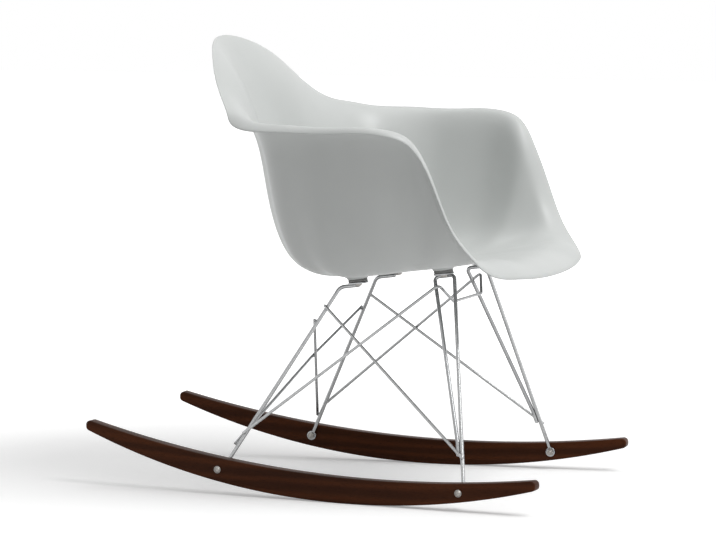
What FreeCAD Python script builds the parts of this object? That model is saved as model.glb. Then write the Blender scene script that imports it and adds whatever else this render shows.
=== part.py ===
"""Moulded plastic armchair shell on a welded wire cradle and two wooden rockers.

Millimetres, +Z up. The floor is z = 0, x = 0 is the plane of symmetry, the
sitter faces -Y, and y = 0 is halfway along the rockers. Left and right are the
sitter's own, so the left side is +X.
"""
import FreeCAD
import Part
import os
from math import atan2, cos, degrees, pi, radians, sin, sqrt, tan

V = FreeCAD.Vector

# Seat shell
wall = 5.0               # thickness of the moulding
shell_width = 624.0      # over the rims of the two arms
shell_front = -350.0     # y of the front lip
shell_back = 238.0       # y of the top of the back
lip_height = 358.0       # front lip above the floor
lip_width = 476.0        # across the rounded front corners
lip_crown = 15.0         # the front corners swell up by this much inside the lip
corner_run = 59.0        # length of a front corner, from the lip back to the foot of the arm
arm_height = 598.0       # rim of the arms above the floor
arm_front = -168.0       # y where the top of the arm starts to turn down
arm_run = 99.0           # from there forward to the foot of the arm
arm_lean = 40.0          # the foot of the arm is further in by this much
arm_rear = 62.0          # y where the rim starts to climb into the back
back_height = 741.0      # top of the back above the floor
back_width = 380.0       # across the rim halfway up the back
seat_centre = -75.0      # y of the middle of the flat of the seat
seat_height = 358.0      # underside of the seat at its middle
seat_tilt = 7.6          # degrees, the front edge is the higher one
flat_width = 140.0       # flat bottom of the seat, across
flat_depth = 130.0       # and front to back
rim_stations = 56        # sections around the shell, an even number

# Mounts of the shell
mount_spread = 194.0     # between the left and right mounts
front_mount = -188.0     # y of the front pair
rear_mount = -40.0       # y of the rear pair
boss_diameter = 34.0
boss_height = 4.0        # below the flat of the seat
insert_diameter = 9.5
insert_length = 8.0
pad_diameter = 32.0
pad_thickness = 5.0
plate_diameter = 34.0
plate_thickness = 3.0
screw_diameter = 6.0
screw_head = 11.0
screw_head_height = 4.0
screw_clearance = 0.4    # all round the screw in pad and plate

# Wire cradle
leg_wire = 6.4           # diameter of the legs
brace_wire = 4.8         # diameter of the braces
touch_gap = 0.15         # between wires that cross
hairpin_span = 34.0      # length of the bridge on top of a front leg
hairpin_inset = 16.0     # from the middle of the mount in to the front leg
hairpin_shift = 5.0      # and back to the middle of the bridge
rear_leg_inset = 10.0    # the same for the rear leg
rear_leg_run = 46.0      # flat end of the rear leg under its plate
rear_leg_corner = 31.0   # from the middle of the mount back to the bend
hairpin_joint = 104.0    # height where the two wires of a front leg meet
hairpin_end = 84.0       # height where the rear one of the two ends
falling_low_joint = 80.0  # brace from the front foot up to the rear leg
falling_high_joint = 300.0
stretcher_joint = 97.0   # long stretcher on the rear leg
stretcher_crossing = 244.0   # height where it lies against the falling brace
stretcher_drop = 16.0    # its two bends below the front plates
tie_drop = 46.0          # straight middle of the stretcher below the plates
tie_width = 140.0        # length of that straight middle
tie_split = 14.0         # past the bend, where the side run ends and the tie starts
cross_low_joint = 79.0   # the two braces that cross between the rear legs
cross_high_joint = 276.0
brace_end = 3.5          # of a brace past the middle of the wire it is welded to
leg_bend = 15.0          # inside bends, measured on the middle of the wire
hairpin_bend = 7.0
tie_bend = 8.0
bow_bend = 400.0         # where one cross brace passes behind the other

# Rockers
rocker_length = 800.0
rocker_thickness = 22.0
rocker_depth = 41.0      # at the deepest place
rocker_radius = 1263.0   # of the edge that rolls on the floor
rocker_top_radius = 2082.0
rocker_low = -77.0       # where a rocker stands on the floor at rest
rocker_top_low = -133.0  # lowest place of the upper edge
rocker_tip = 7.0         # rounding of the corners at each tip
rocker_edge = 2.5        # rounding of the long edges
rocker_toe = 4.0         # degrees, the tips are further apart in front
track = 447.2            # between the middles of the rockers at y = 0
front_bolt = -269.0      # y of the bolts
rear_bolt = 156.0

# Feet and fastenings
lug_diameter = 16.0
lug_thickness = 6.0
bolt_diameter = 6.0
bolt_clearance = 0.25    # all round the bolt
bolt_head = 10.5
bolt_head_height = 3.3
washer_diameter = 12.0
washer_thickness = 1.2
nut_across = 10.0        # across the flats
nut_height = 5.0
bolt_end = 2.0           # thread showing past the nut

X = V(1, 0, 0)
tilt = radians(seat_tilt)
seat_back = V(0, cos(tilt), -sin(tilt))      # along the seat, to the rear
seat_up = V(0, sin(tilt), cos(tilt))         # square to the seat


def mirrored(shape):
    return shape.mirror(V(0, 0, 0), X)


def mirror_point(p):
    return V(-p.x, p.y, p.z)


def unit(v):
    return V(v).normalize()


def smooth(value, start, end):
    """0 before start, 1 after end, and an even blend between them."""
    t = min(max((value - start) / (end - start), 0.0), 1.0)
    return t * t * (3 - 2 * t)


def seat_level(y):
    """Height of the underside of the flat of the seat, carried on to any y."""
    return seat_height - (y - seat_centre) * tan(tilt)


# The seat shell
def rim_curve():
    """Closed curve through the rim: front lip, arm, back and the other arm."""
    arm = shell_width / 2
    lip = lip_width / 2
    back = back_width / 2
    front_rise = arm_height - lip_height
    back_rise = back_height - arm_height
    back_run = shell_back - arm_rear
    half = [
        V(0, shell_front, lip_height),
        V(0.46 * lip, shell_front + 0.07 * corner_run, lip_height + 0.05 * corner_run),
        V(0.8 * lip, shell_front + 0.29 * corner_run, lip_height + 0.15 * corner_run),
        V(lip, shell_front + 0.61 * corner_run, lip_height + 0.34 * corner_run),
        V(lip + 0.3 * corner_run, shell_front + corner_run, lip_height + 0.19 * front_rise),
        V(arm - arm_lean, arm_front - arm_run, lip_height + 0.34 * front_rise),
        V(arm - 0.78 * arm_lean, arm_front - 0.77 * arm_run, lip_height + 0.565 * front_rise),
        V(arm - 0.65 * arm_lean, arm_front - 0.5 * arm_run, lip_height + 0.82 * front_rise),
        V(arm - 0.38 * arm_lean, arm_front - 0.29 * arm_run, lip_height + 0.94 * front_rise),
        V(arm - 0.08 * arm_lean, arm_front, arm_height - 0.05 * arm_lean),
        V(arm, 0.55 * arm_front + 0.45 * arm_rear, arm_height),
        V(arm - 0.01 * arm_lean, 0.15 * arm_front + 0.85 * arm_rear, arm_height),
        V(arm - 0.2 * arm_lean, arm_rear, arm_height + 0.01 * back_rise),
        V(arm - arm_lean, arm_rear + 0.27 * back_run, arm_height + 0.08 * back_rise),
        V(back + 0.86 * arm_lean, arm_rear + 0.44 * back_run, arm_height + 0.22 * back_rise),
        V(back - 0.02 * arm_lean, arm_rear + 0.595 * back_run, arm_height + 0.42 * back_rise),
        V(0.79 * back, arm_rear + 0.735 * back_run, arm_height + 0.67 * back_rise),
        V(0.53 * back, arm_rear + 0.86 * back_run, arm_height + 0.87 * back_rise),
        V(0.24 * back, arm_rear + 0.96 * back_run, arm_height + 0.975 * back_rise),
        V(0, shell_back, back_height),
    ]
    other = [mirror_point(p) for p in half[-2:0:-1]]
    curve = Part.BSplineCurve()
    curve.interpolate(Points=half + other, PeriodicFlag=True)
    return curve


# Master sections from the flat of the seat out to the rim. Each pair is the
# share of the way out and the share of the rise above the flat of the seat.
front_section = [
    (0.0, 0.0), (0.24, 0.0), (0.48, 0.0), (0.66, 0.04), (0.8, 0.18), (0.9, 0.42), (0.97, 0.76)]
side_section = [
    (0.0, 0.0), (0.3, 0.0), (0.64, 0.02), (0.78, 0.3), (0.845, 0.7), (0.875, 0.99), (0.95, 1.055)]
corner_section = [
    (0.0, 0.0), (0.18, 0.004), (0.42, 0.065), (0.57, 0.255), (0.66, 0.5), (0.705, 0.8), (0.785, 0.945)]
crown_section = [0.0, 0.0, 0.12, 0.5, 1.0, 1.0, 0.55]
back_section = [
    (0.0, 0.0), (0.15, 0.005), (0.36, 0.045), (0.5, 0.19), (0.595, 0.43), (0.735, 0.69), (0.9, 0.895)]


def section(rim):
    """Control points on the middle of the wall, from the flat to the rim."""
    out = V(rim.x, rim.y - seat_centre, 0)
    theta = degrees(atan2(abs(out.x), -out.y))
    turned = smooth(theta, 25, 62), smooth(theta, 95, 130), smooth(theta, 140, 170)
    weights = 1 - turned[0], turned[0] - turned[1], turned[1] - turned[2], turned[2]
    reach = sqrt((2 * out.x / flat_width) ** 2 + (2 * out.y / flat_depth) ** 2)
    start = V(out.x / reach, seat_centre + out.y / reach, 0)
    rise = rim.z - seat_level(rim.y) - wall / 2
    crown = lip_crown * smooth(theta, 20, 42) * (1 - smooth(theta, 50, 75))
    points = []
    masters = zip(front_section, side_section, corner_section, back_section)
    for pairs, swell in zip(masters, crown_section):
        share = sum(w * m[0] for w, m in zip(weights, pairs))
        height = sum(w * m[1] for w, m in zip(weights, pairs))
        p = start + (V(rim.x, rim.y, 0) - start) * share
        p.z = seat_level(p.y) + wall / 2 + rise * height + crown * swell
        points.append(p)
    return points


def closed_poles(points):
    """Poles of the even, closed cubic curve that passes through the points."""
    count = len(points)
    poles = [V(p) for p in points]
    for _ in range(14):
        for i in range(count):
            poles[i] = (points[i] * 6 - poles[i - 1] - poles[(i + 1) % count]) * 0.25
    return poles


def skin_rows(rims):
    """Rows of points around the shell: inner skin, rounded rim, outer skin."""
    count = len(rims)
    columns = [section(rim) + [rim] for rim in rims]
    last = len(columns[0]) - 1
    inner, outer = [], []
    for k in range(last + 1):
        over, under = [], []
        for i in range(count):
            along = columns[(i + 1) % count][k] - columns[i - 1][k]
            out = columns[i][min(k + 1, last)] - columns[i][max(k - 1, 0)]
            normal = seat_up if k < 2 else unit(along.cross(out) * -1)
            point = columns[i][k]
            if k == last:
                point = point - unit(out) * (wall / 2)
            over.append(point + normal * (wall / 2))
            under.append(point - normal * (wall / 2))
        inner.append(over)
        outer.append(under)
    edge = [c[last] + unit(c[last] - c[last - 1]) * (wall / 3) for c in columns]
    return inner + [edge] + outer[::-1]


def moulded_body():
    """The whole double-curved moulding as one solid of even thickness."""
    outline = rim_curve().toShape().discretize(rim_stations + 1)[:-1]
    rows = [closed_poles(row) for row in skin_rows(outline)]
    spans = len(rows) - 3
    surface = Part.BSplineSurface()
    surface.buildFromPolesMultsKnots(
        rows,
        [4] + [1] * (spans - 1) + [4],
        [1] * (rim_stations + 1),
        list(range(spans + 1)),
        list(range(rim_stations + 1)),
        False, True, 3, 3)
    skin = surface.toShape()
    rings = [e for e in skin.Edges if e.isClosed() and e.Length < 4 * flat_width]
    caps = [Part.Face(Part.Wire([ring])) for ring in rings]
    body = Part.makeCompound([skin] + caps)
    body.sewShape(0.001)
    solid = Part.Solid(body.Shells[0])
    if solid.Volume < 0:
        solid.reverse()
    return solid


def disc(centre, axis, diameter, height):
    return Part.makeCylinder(diameter / 2, height, centre, axis)


def ring(centre, axis, diameter, bore, height):
    return disc(centre, axis, diameter, height).cut(disc(centre, axis, bore, height))


def mount_centres():
    """Points on the underside of the seat, right and left, rear then front."""
    half = mount_spread / 2
    spots = [(-half, rear_mount), (half, rear_mount), (-half, front_mount), (half, front_mount)]
    return [V(x, y, seat_level(y)) for x, y in spots]


def seat_shell():
    """Moulding with four short bosses, each bored for its insert."""
    body = moulded_body()
    for spot in mount_centres():
        face = spot - seat_up * boss_height
        body = body.fuse(disc(face, seat_up, boss_diameter, boss_height + wall * 0.6))
        body = body.cut(disc(face, seat_up, insert_diameter, insert_length))
    return body


def shell_inserts():
    """Threaded inserts, flush with the faces of the bosses."""
    faces = [spot - seat_up * boss_height for spot in mount_centres()]
    return [ring(f, seat_up, insert_diameter, screw_diameter, insert_length) for f in faces]


def mount_pad(spot):
    face = spot - seat_up * (boss_height + pad_thickness)
    return ring(face, seat_up, pad_diameter, screw_diameter + 2 * screw_clearance, pad_thickness)


plate_depth = boss_height + pad_thickness + plate_thickness


def mount_plate(spot):
    face = spot - seat_up * plate_depth
    return ring(face, seat_up, plate_diameter, screw_diameter + 2 * screw_clearance, plate_thickness)


def shell_screws():
    """Pan-head screws, from below the plates up into the inserts."""
    screws = []
    for spot in mount_centres():
        seat = spot - seat_up * plate_depth
        length = plate_thickness + pad_thickness + insert_length - 1
        shank = disc(seat, seat_up, screw_diameter, length)
        head = disc(seat, seat_up * -1, screw_head, screw_head_height)
        head = head.makeFillet(screw_head_height * 0.4, [head.Edges[0]])
        screws.append(shank.fuse(head).removeSplitter())
    return screws


# The wire cradle
def rod(points, diameter, bend):
    """Round wire along straight runs joined by tangent arcs."""
    edges = []
    start = points[0]
    for before, corner, after in zip(points, points[1:], points[2:]):
        a = unit(before - corner)
        b = unit(after - corner)
        half = a.getAngle(b) / 2
        tangent = bend / tan(half)
        middle = corner + unit(a + b) * (bend / sin(half) - bend)
        first = corner + a * tangent
        second = corner + b * tangent
        edges.append(Part.LineSegment(start, first).toShape())
        edges.append(Part.Arc(first, middle, second).toShape())
        start = second
    edges.append(Part.LineSegment(start, points[-1]).toShape())
    path = Part.Wire(edges)
    profile = Part.Wire([Part.Circle(points[0], points[1] - points[0], diameter / 2).toShape()])
    return path.makePipeShell([profile], True, True)


def under_plate(x, y, diameter):
    """Middle of a wire of this diameter that lies against the plates."""
    return V(x, y, seat_level(y)) - seat_up * (plate_depth + diameter / 2)


def at_height(low, high, z):
    """Point of the line from low to high at the height z."""
    return low + (high - low) * ((z - low.z) / (high.z - low.z))


def rocker_x(y):
    """Middle of the left rocker at y."""
    return track / 2 - y * tan(radians(rocker_toe))


def rocker_edges(y):
    """Heights of the lower and upper edge of a rocker at y."""
    low = rocker_radius - sqrt(rocker_radius ** 2 - (y - rocker_low) ** 2)
    rise = rocker_top_radius - sqrt(rocker_top_radius ** 2 - (y - rocker_top_low) ** 2)
    return low, rocker_depth + rise


across = V(cos(radians(rocker_toe)), sin(radians(rocker_toe)), 0)   # out of the left rocker
inner_face = rocker_thickness / 2


def bolt_centre(y):
    """Where a bolt of the left rocker crosses the middle of the board."""
    return V(rocker_x(y), y, sum(rocker_edges(y)) / 2)


def foot_point(y, top):
    """Lower end of a leg: on its lug, towards the top of the leg."""
    middle = bolt_centre(y) - across * (inner_face + leg_wire / 2 + touch_gap)
    lean = V(0, top.y - middle.y, top.z - middle.z)
    return middle + unit(lean) * (lug_diameter / 2 - 2)


mount_x = mount_spread / 2
bridge = front_mount + hairpin_shift
front_top = under_plate(mount_x - hairpin_inset, bridge - hairpin_span / 2, leg_wire)
front_top_rear = under_plate(mount_x - hairpin_inset, bridge + hairpin_span / 2, leg_wire)
front_foot = foot_point(front_bolt, front_top)
rear_top = under_plate(mount_x - rear_leg_inset, rear_mount + rear_leg_corner, leg_wire)
rear_end = under_plate(mount_x - rear_leg_inset, rear_mount + rear_leg_corner - rear_leg_run, leg_wire)
rear_foot = foot_point(rear_bolt, rear_top)


rear_leg_line = rear_top - rear_foot
front_leg_line = front_top - front_foot


def hairpin_points():
    """Hairpin: up from the foot, over the bridge, down beside itself."""
    along = unit(front_leg_line)
    back = front_top_rear - front_top
    beside = unit(back - along * back.dot(along)) * (leg_wire + touch_gap)
    joint = at_height(front_foot, front_top, hairpin_joint) + beside
    end = at_height(front_foot, front_top, hairpin_end) + beside
    return [front_foot, front_top, front_top_rear, joint, end]


def front_leg():
    return rod(hairpin_points(), leg_wire, hairpin_bend).cut(foot_lug(front_bolt))


def rear_leg():
    """One wire from the foot that bends forward flat under the plate."""
    return rod([rear_foot, rear_top, rear_end], leg_wire, leg_bend).cut(foot_lug(rear_bolt))


def lap_point(point, leg, run, side):
    """Middle of a brace where it lies against a leg, on the side asked for."""
    normal = unit(run.cross(leg))
    if normal.dot(side) < 0:
        normal = normal * -1
    return point + normal * ((leg_wire + brace_wire) / 2 + touch_gap)


def lapped_brace(low, low_leg, high, high_leg, side):
    """Ends of a straight brace that only touches the two legs it joins."""
    run = unit(high - low)
    start = lap_point(low, low_leg, run, side) - run * brace_end
    end = lap_point(high, high_leg, run, side) + run * brace_end
    return start, end


def falling_line():
    """Ends of the brace from the foot of the front leg to the rear leg."""
    low = at_height(front_foot, front_top, falling_low_joint)
    high = at_height(rear_foot, rear_top, falling_high_joint)
    return lapped_brace(low, front_leg_line, high, rear_leg_line, X)


def falling_brace():
    return rod(falling_line(), brace_wire, tie_bend)


def stretcher_points():
    """Left half of the stretcher: rear foot, outer bend, split and tie corner.

    Between the bend and the corner it passes midway between the wires of the
    hairpin.
    """
    low = at_height(rear_foot, rear_top, stretcher_joint)
    start, end = falling_line()
    crossing = at_height(start, end, stretcher_crossing)
    outward = unit((end - start).cross(crossing - low))
    if outward.x < 0:
        outward = outward * -1
    beside = crossing + outward * (brace_wire + touch_gap)
    run = unit(beside - low)
    foot = lap_point(low, rear_leg_line, run, X) - run * brace_end
    plates = seat_level(front_mount) - plate_depth
    bend = at_height(foot, beside, plates - stretcher_drop)
    share = (bend.x - front_top.x) / (bend.x - tie_width / 2)
    passing = bend.z + (stretcher_drop - tie_drop) * share
    pin = hairpin_points()
    between = (at_height(pin[0], pin[1], passing) + at_height(pin[3], pin[2], passing)) / 2
    corner = V(tie_width / 2, bend.y + (between.y - bend.y) / share, plates - tie_drop)
    return foot, bend, bend + unit(corner - bend) * tie_split, corner


def stretcher_side():
    """Side run of the stretcher, with the bend beside the front mount."""
    return rod(stretcher_points()[:3], brace_wire, tie_bend)


def front_tie():
    """Front run of the stretcher, from split to split: down, across and up."""
    half = stretcher_points()[2:]
    return rod(list(half) + [mirror_point(p) for p in half[::-1]], brace_wire, tie_bend)


def cross_line():
    """Ends of the straight cross brace: left rear leg low, right one high."""
    low = at_height(rear_foot, rear_top, cross_low_joint)
    high = mirror_point(at_height(rear_foot, rear_top, cross_high_joint))
    return lapped_brace(low, rear_leg_line, high, mirror_point(rear_leg_line), V(0, 1, 0))


def straight_cross_brace():
    return rod(cross_line(), brace_wire, bow_bend)


def bowed_cross_brace():
    """The other way round, and bowed to pass behind the straight one."""
    low, high = [mirror_point(p) for p in cross_line()]
    middle = low + (high - low) * (low.x / (low.x - high.x))
    run = high - low
    behind = unit(run.cross(mirror_point(run)))
    if behind.y < 0:
        behind = behind * -1
    middle = middle + behind * (brace_wire + touch_gap)
    return rod([low, middle, high], brace_wire, bow_bend)


# The rockers
def rocker():
    """Left rocker: a crescent board, bored for its two bolts."""
    half = rocker_length / 2

    def low(y):
        return V(0, y, rocker_edges(y)[0])

    def high(y):
        return V(0, y, rocker_edges(y)[1])

    outline = Part.Wire([
        Part.Arc(low(-half), low(0), low(half)).toShape(),
        Part.LineSegment(low(half), high(half)).toShape(),
        Part.Arc(high(half), high(0), high(-half)).toShape(),
        Part.LineSegment(high(-half), low(-half)).toShape()])
    board = Part.Face(outline).extrude(V(rocker_thickness, 0, 0))
    board.translate(V(-rocker_thickness / 2, 0, 0))
    corners = [e for e in board.Edges if e.BoundBox.XLength > rocker_thickness / 2]
    board = board.makeFillet(rocker_tip, corners)
    sides = [e for e in board.Edges if e.BoundBox.XLength < rocker_edge]
    board = board.makeFillet(rocker_edge, sides)
    board.rotate(V(0, 0, 0), V(0, 0, 1), rocker_toe)
    board.translate(V(track / 2, 0, 0))
    for y in (front_bolt, rear_bolt):
        start = bolt_centre(y) - across * rocker_thickness
        board = board.cut(disc(start, across, bolt_diameter + 2 * bolt_clearance, 2 * rocker_thickness))
    return board


def foot_lug(y):
    """Forged eye at the foot of a leg, flat on the inside of the rocker."""
    face = bolt_centre(y) - across * inner_face
    return ring(face, across * -1, lug_diameter, bolt_diameter + 2 * bolt_clearance, lug_thickness)


def bolt(y):
    """Dome-head bolt, in from the outside of the rocker."""
    under_head = bolt_centre(y) + across * (inner_face + washer_thickness)
    length = washer_thickness + rocker_thickness + lug_thickness + nut_height + bolt_end
    shank = disc(under_head, across * -1, bolt_diameter, length)
    radius = (bolt_head ** 2 / 4 + bolt_head_height ** 2) / (2 * bolt_head_height)
    ball = Part.makeSphere(radius, under_head + across * (bolt_head_height - radius))
    dome = ball.common(disc(under_head, across, bolt_head + 1, bolt_head))
    return shank.fuse(dome)


def washer(y):
    face = bolt_centre(y) + across * inner_face
    return ring(face, across, washer_diameter, bolt_diameter + 2 * bolt_clearance, washer_thickness)


def nut(y):
    """Hexagon nut on the inside of the lug."""
    face = bolt_centre(y) - across * (inner_face + lug_thickness)
    radius = nut_across / sqrt(3)
    up = V(0, 0, 1)
    level = across.cross(up)
    turns = [k * pi / 3 for k in range(7)]
    corners = [face + (up * sin(t) + level * cos(t)) * radius for t in turns]
    prism = Part.Face(Part.makePolygon(corners)).extrude(across * -nut_height)
    return prism.cut(disc(face, across * -1, bolt_diameter, nut_height))


def on_both_sides(make):
    """The same fastening at all four feet."""
    left = [make(y) for y in (rear_bolt, front_bolt)]
    return left + [mirrored(shape) for shape in left]


def nodes():
    """Every node of the chair by name."""
    places = ["rear_right", "rear_left", "front_right", "front_left"]
    parts = {"seat_shell": seat_shell(), "shell_inserts": Part.makeCompound(shell_inserts())}
    for place, spot in zip(places, mount_centres()):
        parts["mount_pad_" + place] = mount_pad(spot)
        parts["mount_plate_" + place] = mount_plate(spot)
    parts["shell_screws"] = Part.makeCompound(shell_screws())
    pairs = {
        "front_leg": front_leg(), "rear_leg": rear_leg(),
        "falling_brace": falling_brace(), "stretcher": stretcher_side(),
        "foot_lug_front": foot_lug(front_bolt), "foot_lug_rear": foot_lug(rear_bolt),
        "rocker": rocker()}
    for name, shape in pairs.items():
        parts[name + "_left"] = shape
        parts[name + "_right"] = mirrored(shape)
    parts["front_tie"] = front_tie()
    parts["cross_brace_straight"] = straight_cross_brace()
    parts["cross_brace_bowed"] = bowed_cross_brace()
    parts["rocker_bolts"] = Part.makeCompound(on_both_sides(bolt))
    parts["rocker_washers"] = Part.makeCompound(on_both_sides(washer))
    parts["rocker_nuts"] = Part.makeCompound(on_both_sides(nut))
    return parts


os.makedirs("parts", exist_ok=True)
for node, shape in nodes().items():
    shape.exportStep("parts/" + node + ".step")
    box = shape.BoundBox
    print("%-24s solids %d valid %s volume %.0f  x %.1f %.1f  y %.1f %.1f  z %.1f %.1f" % (
        node, len(shape.Solids), shape.isValid(), shape.Volume,
        box.XMin, box.XMax, box.YMin, box.YMax, box.ZMin, box.ZMax))
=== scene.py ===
"""Looks of a moulded plastic rocking chair on a welded wire cradle.

The chair's classes hold their sizes in millimetres and degrees, as the solids
do, with +Z up, the sitter facing -Y and +X on the sitter's left. A mesh is
scaled to metres once, when it is made. Finishes and studio are in metres.
"""

import logging
from dataclasses import dataclass, field
from enum import Enum
from math import atan2, cos, degrees, pi, radians, sin, sqrt, tan
from typing import Any, Sequence

import bmesh
import bpy
from bpy.types import Material, Mesh, Node, NodeSocket, NodeTree, Object
from mathutils import Matrix, Vector


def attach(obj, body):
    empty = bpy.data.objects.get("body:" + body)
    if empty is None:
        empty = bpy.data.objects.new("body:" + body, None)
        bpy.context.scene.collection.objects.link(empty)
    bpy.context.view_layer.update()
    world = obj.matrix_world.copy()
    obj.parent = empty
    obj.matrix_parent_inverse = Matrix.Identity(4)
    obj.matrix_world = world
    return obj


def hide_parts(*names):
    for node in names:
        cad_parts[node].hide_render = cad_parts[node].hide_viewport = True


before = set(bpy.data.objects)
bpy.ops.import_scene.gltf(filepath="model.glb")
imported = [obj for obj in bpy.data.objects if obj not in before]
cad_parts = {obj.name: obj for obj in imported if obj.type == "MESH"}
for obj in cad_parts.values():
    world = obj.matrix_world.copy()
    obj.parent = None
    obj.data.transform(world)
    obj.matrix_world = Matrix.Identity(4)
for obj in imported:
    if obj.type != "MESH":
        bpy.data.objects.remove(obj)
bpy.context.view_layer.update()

MM = 0.001
ROOT = "root"
ORIGIN = Vector((0, 0, 0))
X_AXIS = Vector((1, 0, 0))
Y_AXIS = Vector((0, 1, 0))
Z_AXIS = Vector((0, 0, 1))
# Angles over a quarter turn, for rounded edges and coves.
QUARTER = tuple(pi / 2 * k / 6 for k in range(7))
# Points of a mesh that are nearer than this, in metres, become one.
MERGE = 1e-7
# Rounds in which the poles and the bends of a closed curve settle.
POLE_ROUNDS = 14
BEND_ROUNDS = 60
# Edges that turn by more than this, in degrees, stay sharp.
BODY_CREASE = 40
COPY_CREASE = 38
WIRE_CREASE = 50

log = logging.getLogger("rocking_chair")

Triple = tuple[float, float, float]
Pair = tuple[float, float]
Seat = tuple[Vector, Vector]
Section = tuple[Pair, ...]


class Side(Enum):
    """The two sides of the chair, as the sign of x."""

    LEFT = 1
    RIGHT = -1

    @property
    def word(self) -> str:
        """The side as it stands in the names of nodes."""
        return self.name.lower()


class Outline(Enum):
    """Shape of one row of a turned piece, seen along its axis."""

    ROUND = "round"
    HEXAGON = "hexagon"
    CROSS = "cross"

    def reach(self, radius: float, angle: float) -> float:
        """How far a row of this shape reaches out from its axis.

        Args:
            radius: Of the row.
            angle: Way that it is measured in.

        Returns:
            The distance.
        """
        if self is Outline.HEXAGON:
            return radius / cos((angle + pi / 6) % (pi / 3) - pi / 6)
        if self is Outline.CROSS:
            return radius * (0.34 + 0.66 * abs(cos(2 * angle)) ** 7)
        return radius


Row = tuple[float, float, Outline]


# Small geometry helpers

def unit(vector: Vector) -> Vector:
    """The same direction with length one."""
    return vector.normalized()


def towards(vector: Vector, way: Vector) -> Vector:
    """The vector, turned round where it points away from the way."""
    return vector * -1 if vector.dot(way) < 0 else vector


def smooth(value: float, start: float, end: float) -> float:
    """0 before start, 1 after end, and an even blend between them."""
    t = min(max((value - start) / (end - start), 0.0), 1.0)
    return t * t * (3 - 2 * t)


def on_side(point: Vector, side: Side) -> Vector:
    """A point of the left half, or its mirror image on the right."""
    return Vector((point.x * side.value, point.y, point.z))


def mirrored(seats: Sequence[Seat]) -> list[Seat]:
    """Seats of the right half for these of the left."""
    return [(on_side(spot, Side.RIGHT), on_side(axis, Side.RIGHT)) for spot, axis in seats]


def at_height(low: Vector, high: Vector, z: float) -> Vector:
    """Point of the line from low to high at the height z."""
    return low + (high - low) * ((z - low.z) / (high.z - low.z))


def round_corners(corners: Sequence[Triple], steps: int) -> list[Pair]:
    """Rounds the corners of a closed outline.

    Args:
        corners: Each corner as its two places and the radius of its rounding.
        steps: Straight pieces in each rounding.

    Returns:
        The points of the rounded outline.
    """
    points: list[Pair] = []
    for i, (x, y, radius) in enumerate(corners):
        if radius == 0:
            points.append((x, y))
            continue
        here = Vector((x, y))
        a = unit(Vector(corners[i - 1][:2]) - here)
        b = unit(Vector(corners[(i + 1) % len(corners)][:2]) - here)
        half = a.angle(b) / 2
        centre = here + unit(a + b) * (radius / sin(half))
        first = here + a * (radius / tan(half)) - centre
        last = here + b * (radius / tan(half)) - centre
        for k in range(steps + 1):
            spot = centre + unit(first.lerp(last, k / steps)) * radius
            points.append((spot.x, spot.y))
    return points


def closed_poles(points: Sequence[Vector]) -> list[Vector]:
    """Poles of the even, closed cubic curve that passes through the points.

    Args:
        points: Points of the curve, in order.

    Returns:
        One pole for each point.
    """
    count = len(points)
    poles = [p.copy() for p in points]
    for _ in range(POLE_ROUNDS):
        for i in range(count):
            poles[i] = (points[i] * 6 - poles[i - 1] - poles[(i + 1) % count]) * 0.25
    return poles


def closed_curve(points: Sequence[Vector], steps: int = 40) -> list[Vector]:
    """Fine points of the smooth closed curve through some points.

    Args:
        points: Points that the curve passes through, in order.
        steps: Straight pieces between two of the given points.

    Returns:
        The fine points, with the first one again at the end.
    """
    total = len(points)
    chord = [(points[(i + 1) % total] - points[i]).length for i in range(total)]
    bend = [ORIGIN] * total
    for _ in range(BEND_ROUNDS):
        for i in range(total):
            before, after = chord[i - 1], chord[i]
            ahead = (points[(i + 1) % total] - points[i]) / after
            behind = (points[i] - points[i - 1]) / before
            pull = (ahead - behind) * 6 - bend[i - 1] * before - bend[(i + 1) % total] * after
            bend[i] = pull / (2 * (before + after))
    fine: list[Vector] = []
    for i, h in enumerate(chord):
        a, b, m, n = points[i], points[(i + 1) % total], bend[i], bend[(i + 1) % total]
        for k in range(steps):
            t = h * k / steps
            s = h - t
            fine.append(m * (s ** 3 / (6 * h)) + n * (t ** 3 / (6 * h))
                        + (a / h - m * (h / 6)) * s + (b / h - n * (h / 6)) * t)
    return fine + [fine[0].copy()]


def evenly_spaced(line: Sequence[Vector], count: int) -> list[Vector]:
    """Evenly spaced points along a closed line.

    Args:
        line: Fine points of the line, with the first one again at the end.
        count: How many points come back.

    Returns:
        The evenly spaced points, from the line's first one on.
    """
    run = [0.0]
    for a, b in zip(line, line[1:]):
        run.append(run[-1] + (b - a).length)
    even: list[Vector] = []
    spot = 0
    for k in range(count):
        goal = run[-1] * k / count
        while run[spot + 1] < goal:
            spot += 1
        share = (goal - run[spot]) / (run[spot + 1] - run[spot])
        even.append(line[spot].lerp(line[spot + 1], share))
    return even


# Meshes and pieces

def band_faces(rows: int, count: int) -> list[Sequence[int]]:
    """Faces between closed rows of points, each row joined to the next.

    Args:
        rows: Number of rows.
        count: Points in each row.

    Returns:
        The corners of each face.
    """
    faces: list[Sequence[int]] = []
    for first in range(0, (rows - 1) * count, count):
        for i in range(count):
            a, b = first + i, first + (i + 1) % count
            faces.append((a, b, b + count, a + count))
    return faces


def make_mesh(name: str, points: Sequence[Vector], faces: Sequence[Sequence[int]]) -> Mesh:
    """A closed mesh in metres from points in millimetres.

    Args:
        name: Name of the mesh.
        points: Places in millimetres.
        faces: Corners of each face, in either direction.

    Returns:
        The mesh, smooth, with all faces turned outwards.
    """
    mesh = bpy.data.meshes.new(name)
    mesh.from_pydata([p * MM for p in points], [], faces)
    shape = bmesh.new()
    shape.from_mesh(mesh)
    bmesh.ops.remove_doubles(shape, verts=shape.verts, dist=MERGE)
    bmesh.ops.recalc_face_normals(shape, faces=shape.faces)
    shape.to_mesh(mesh)
    shape.free()
    mesh.shade_smooth()
    return mesh


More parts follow.
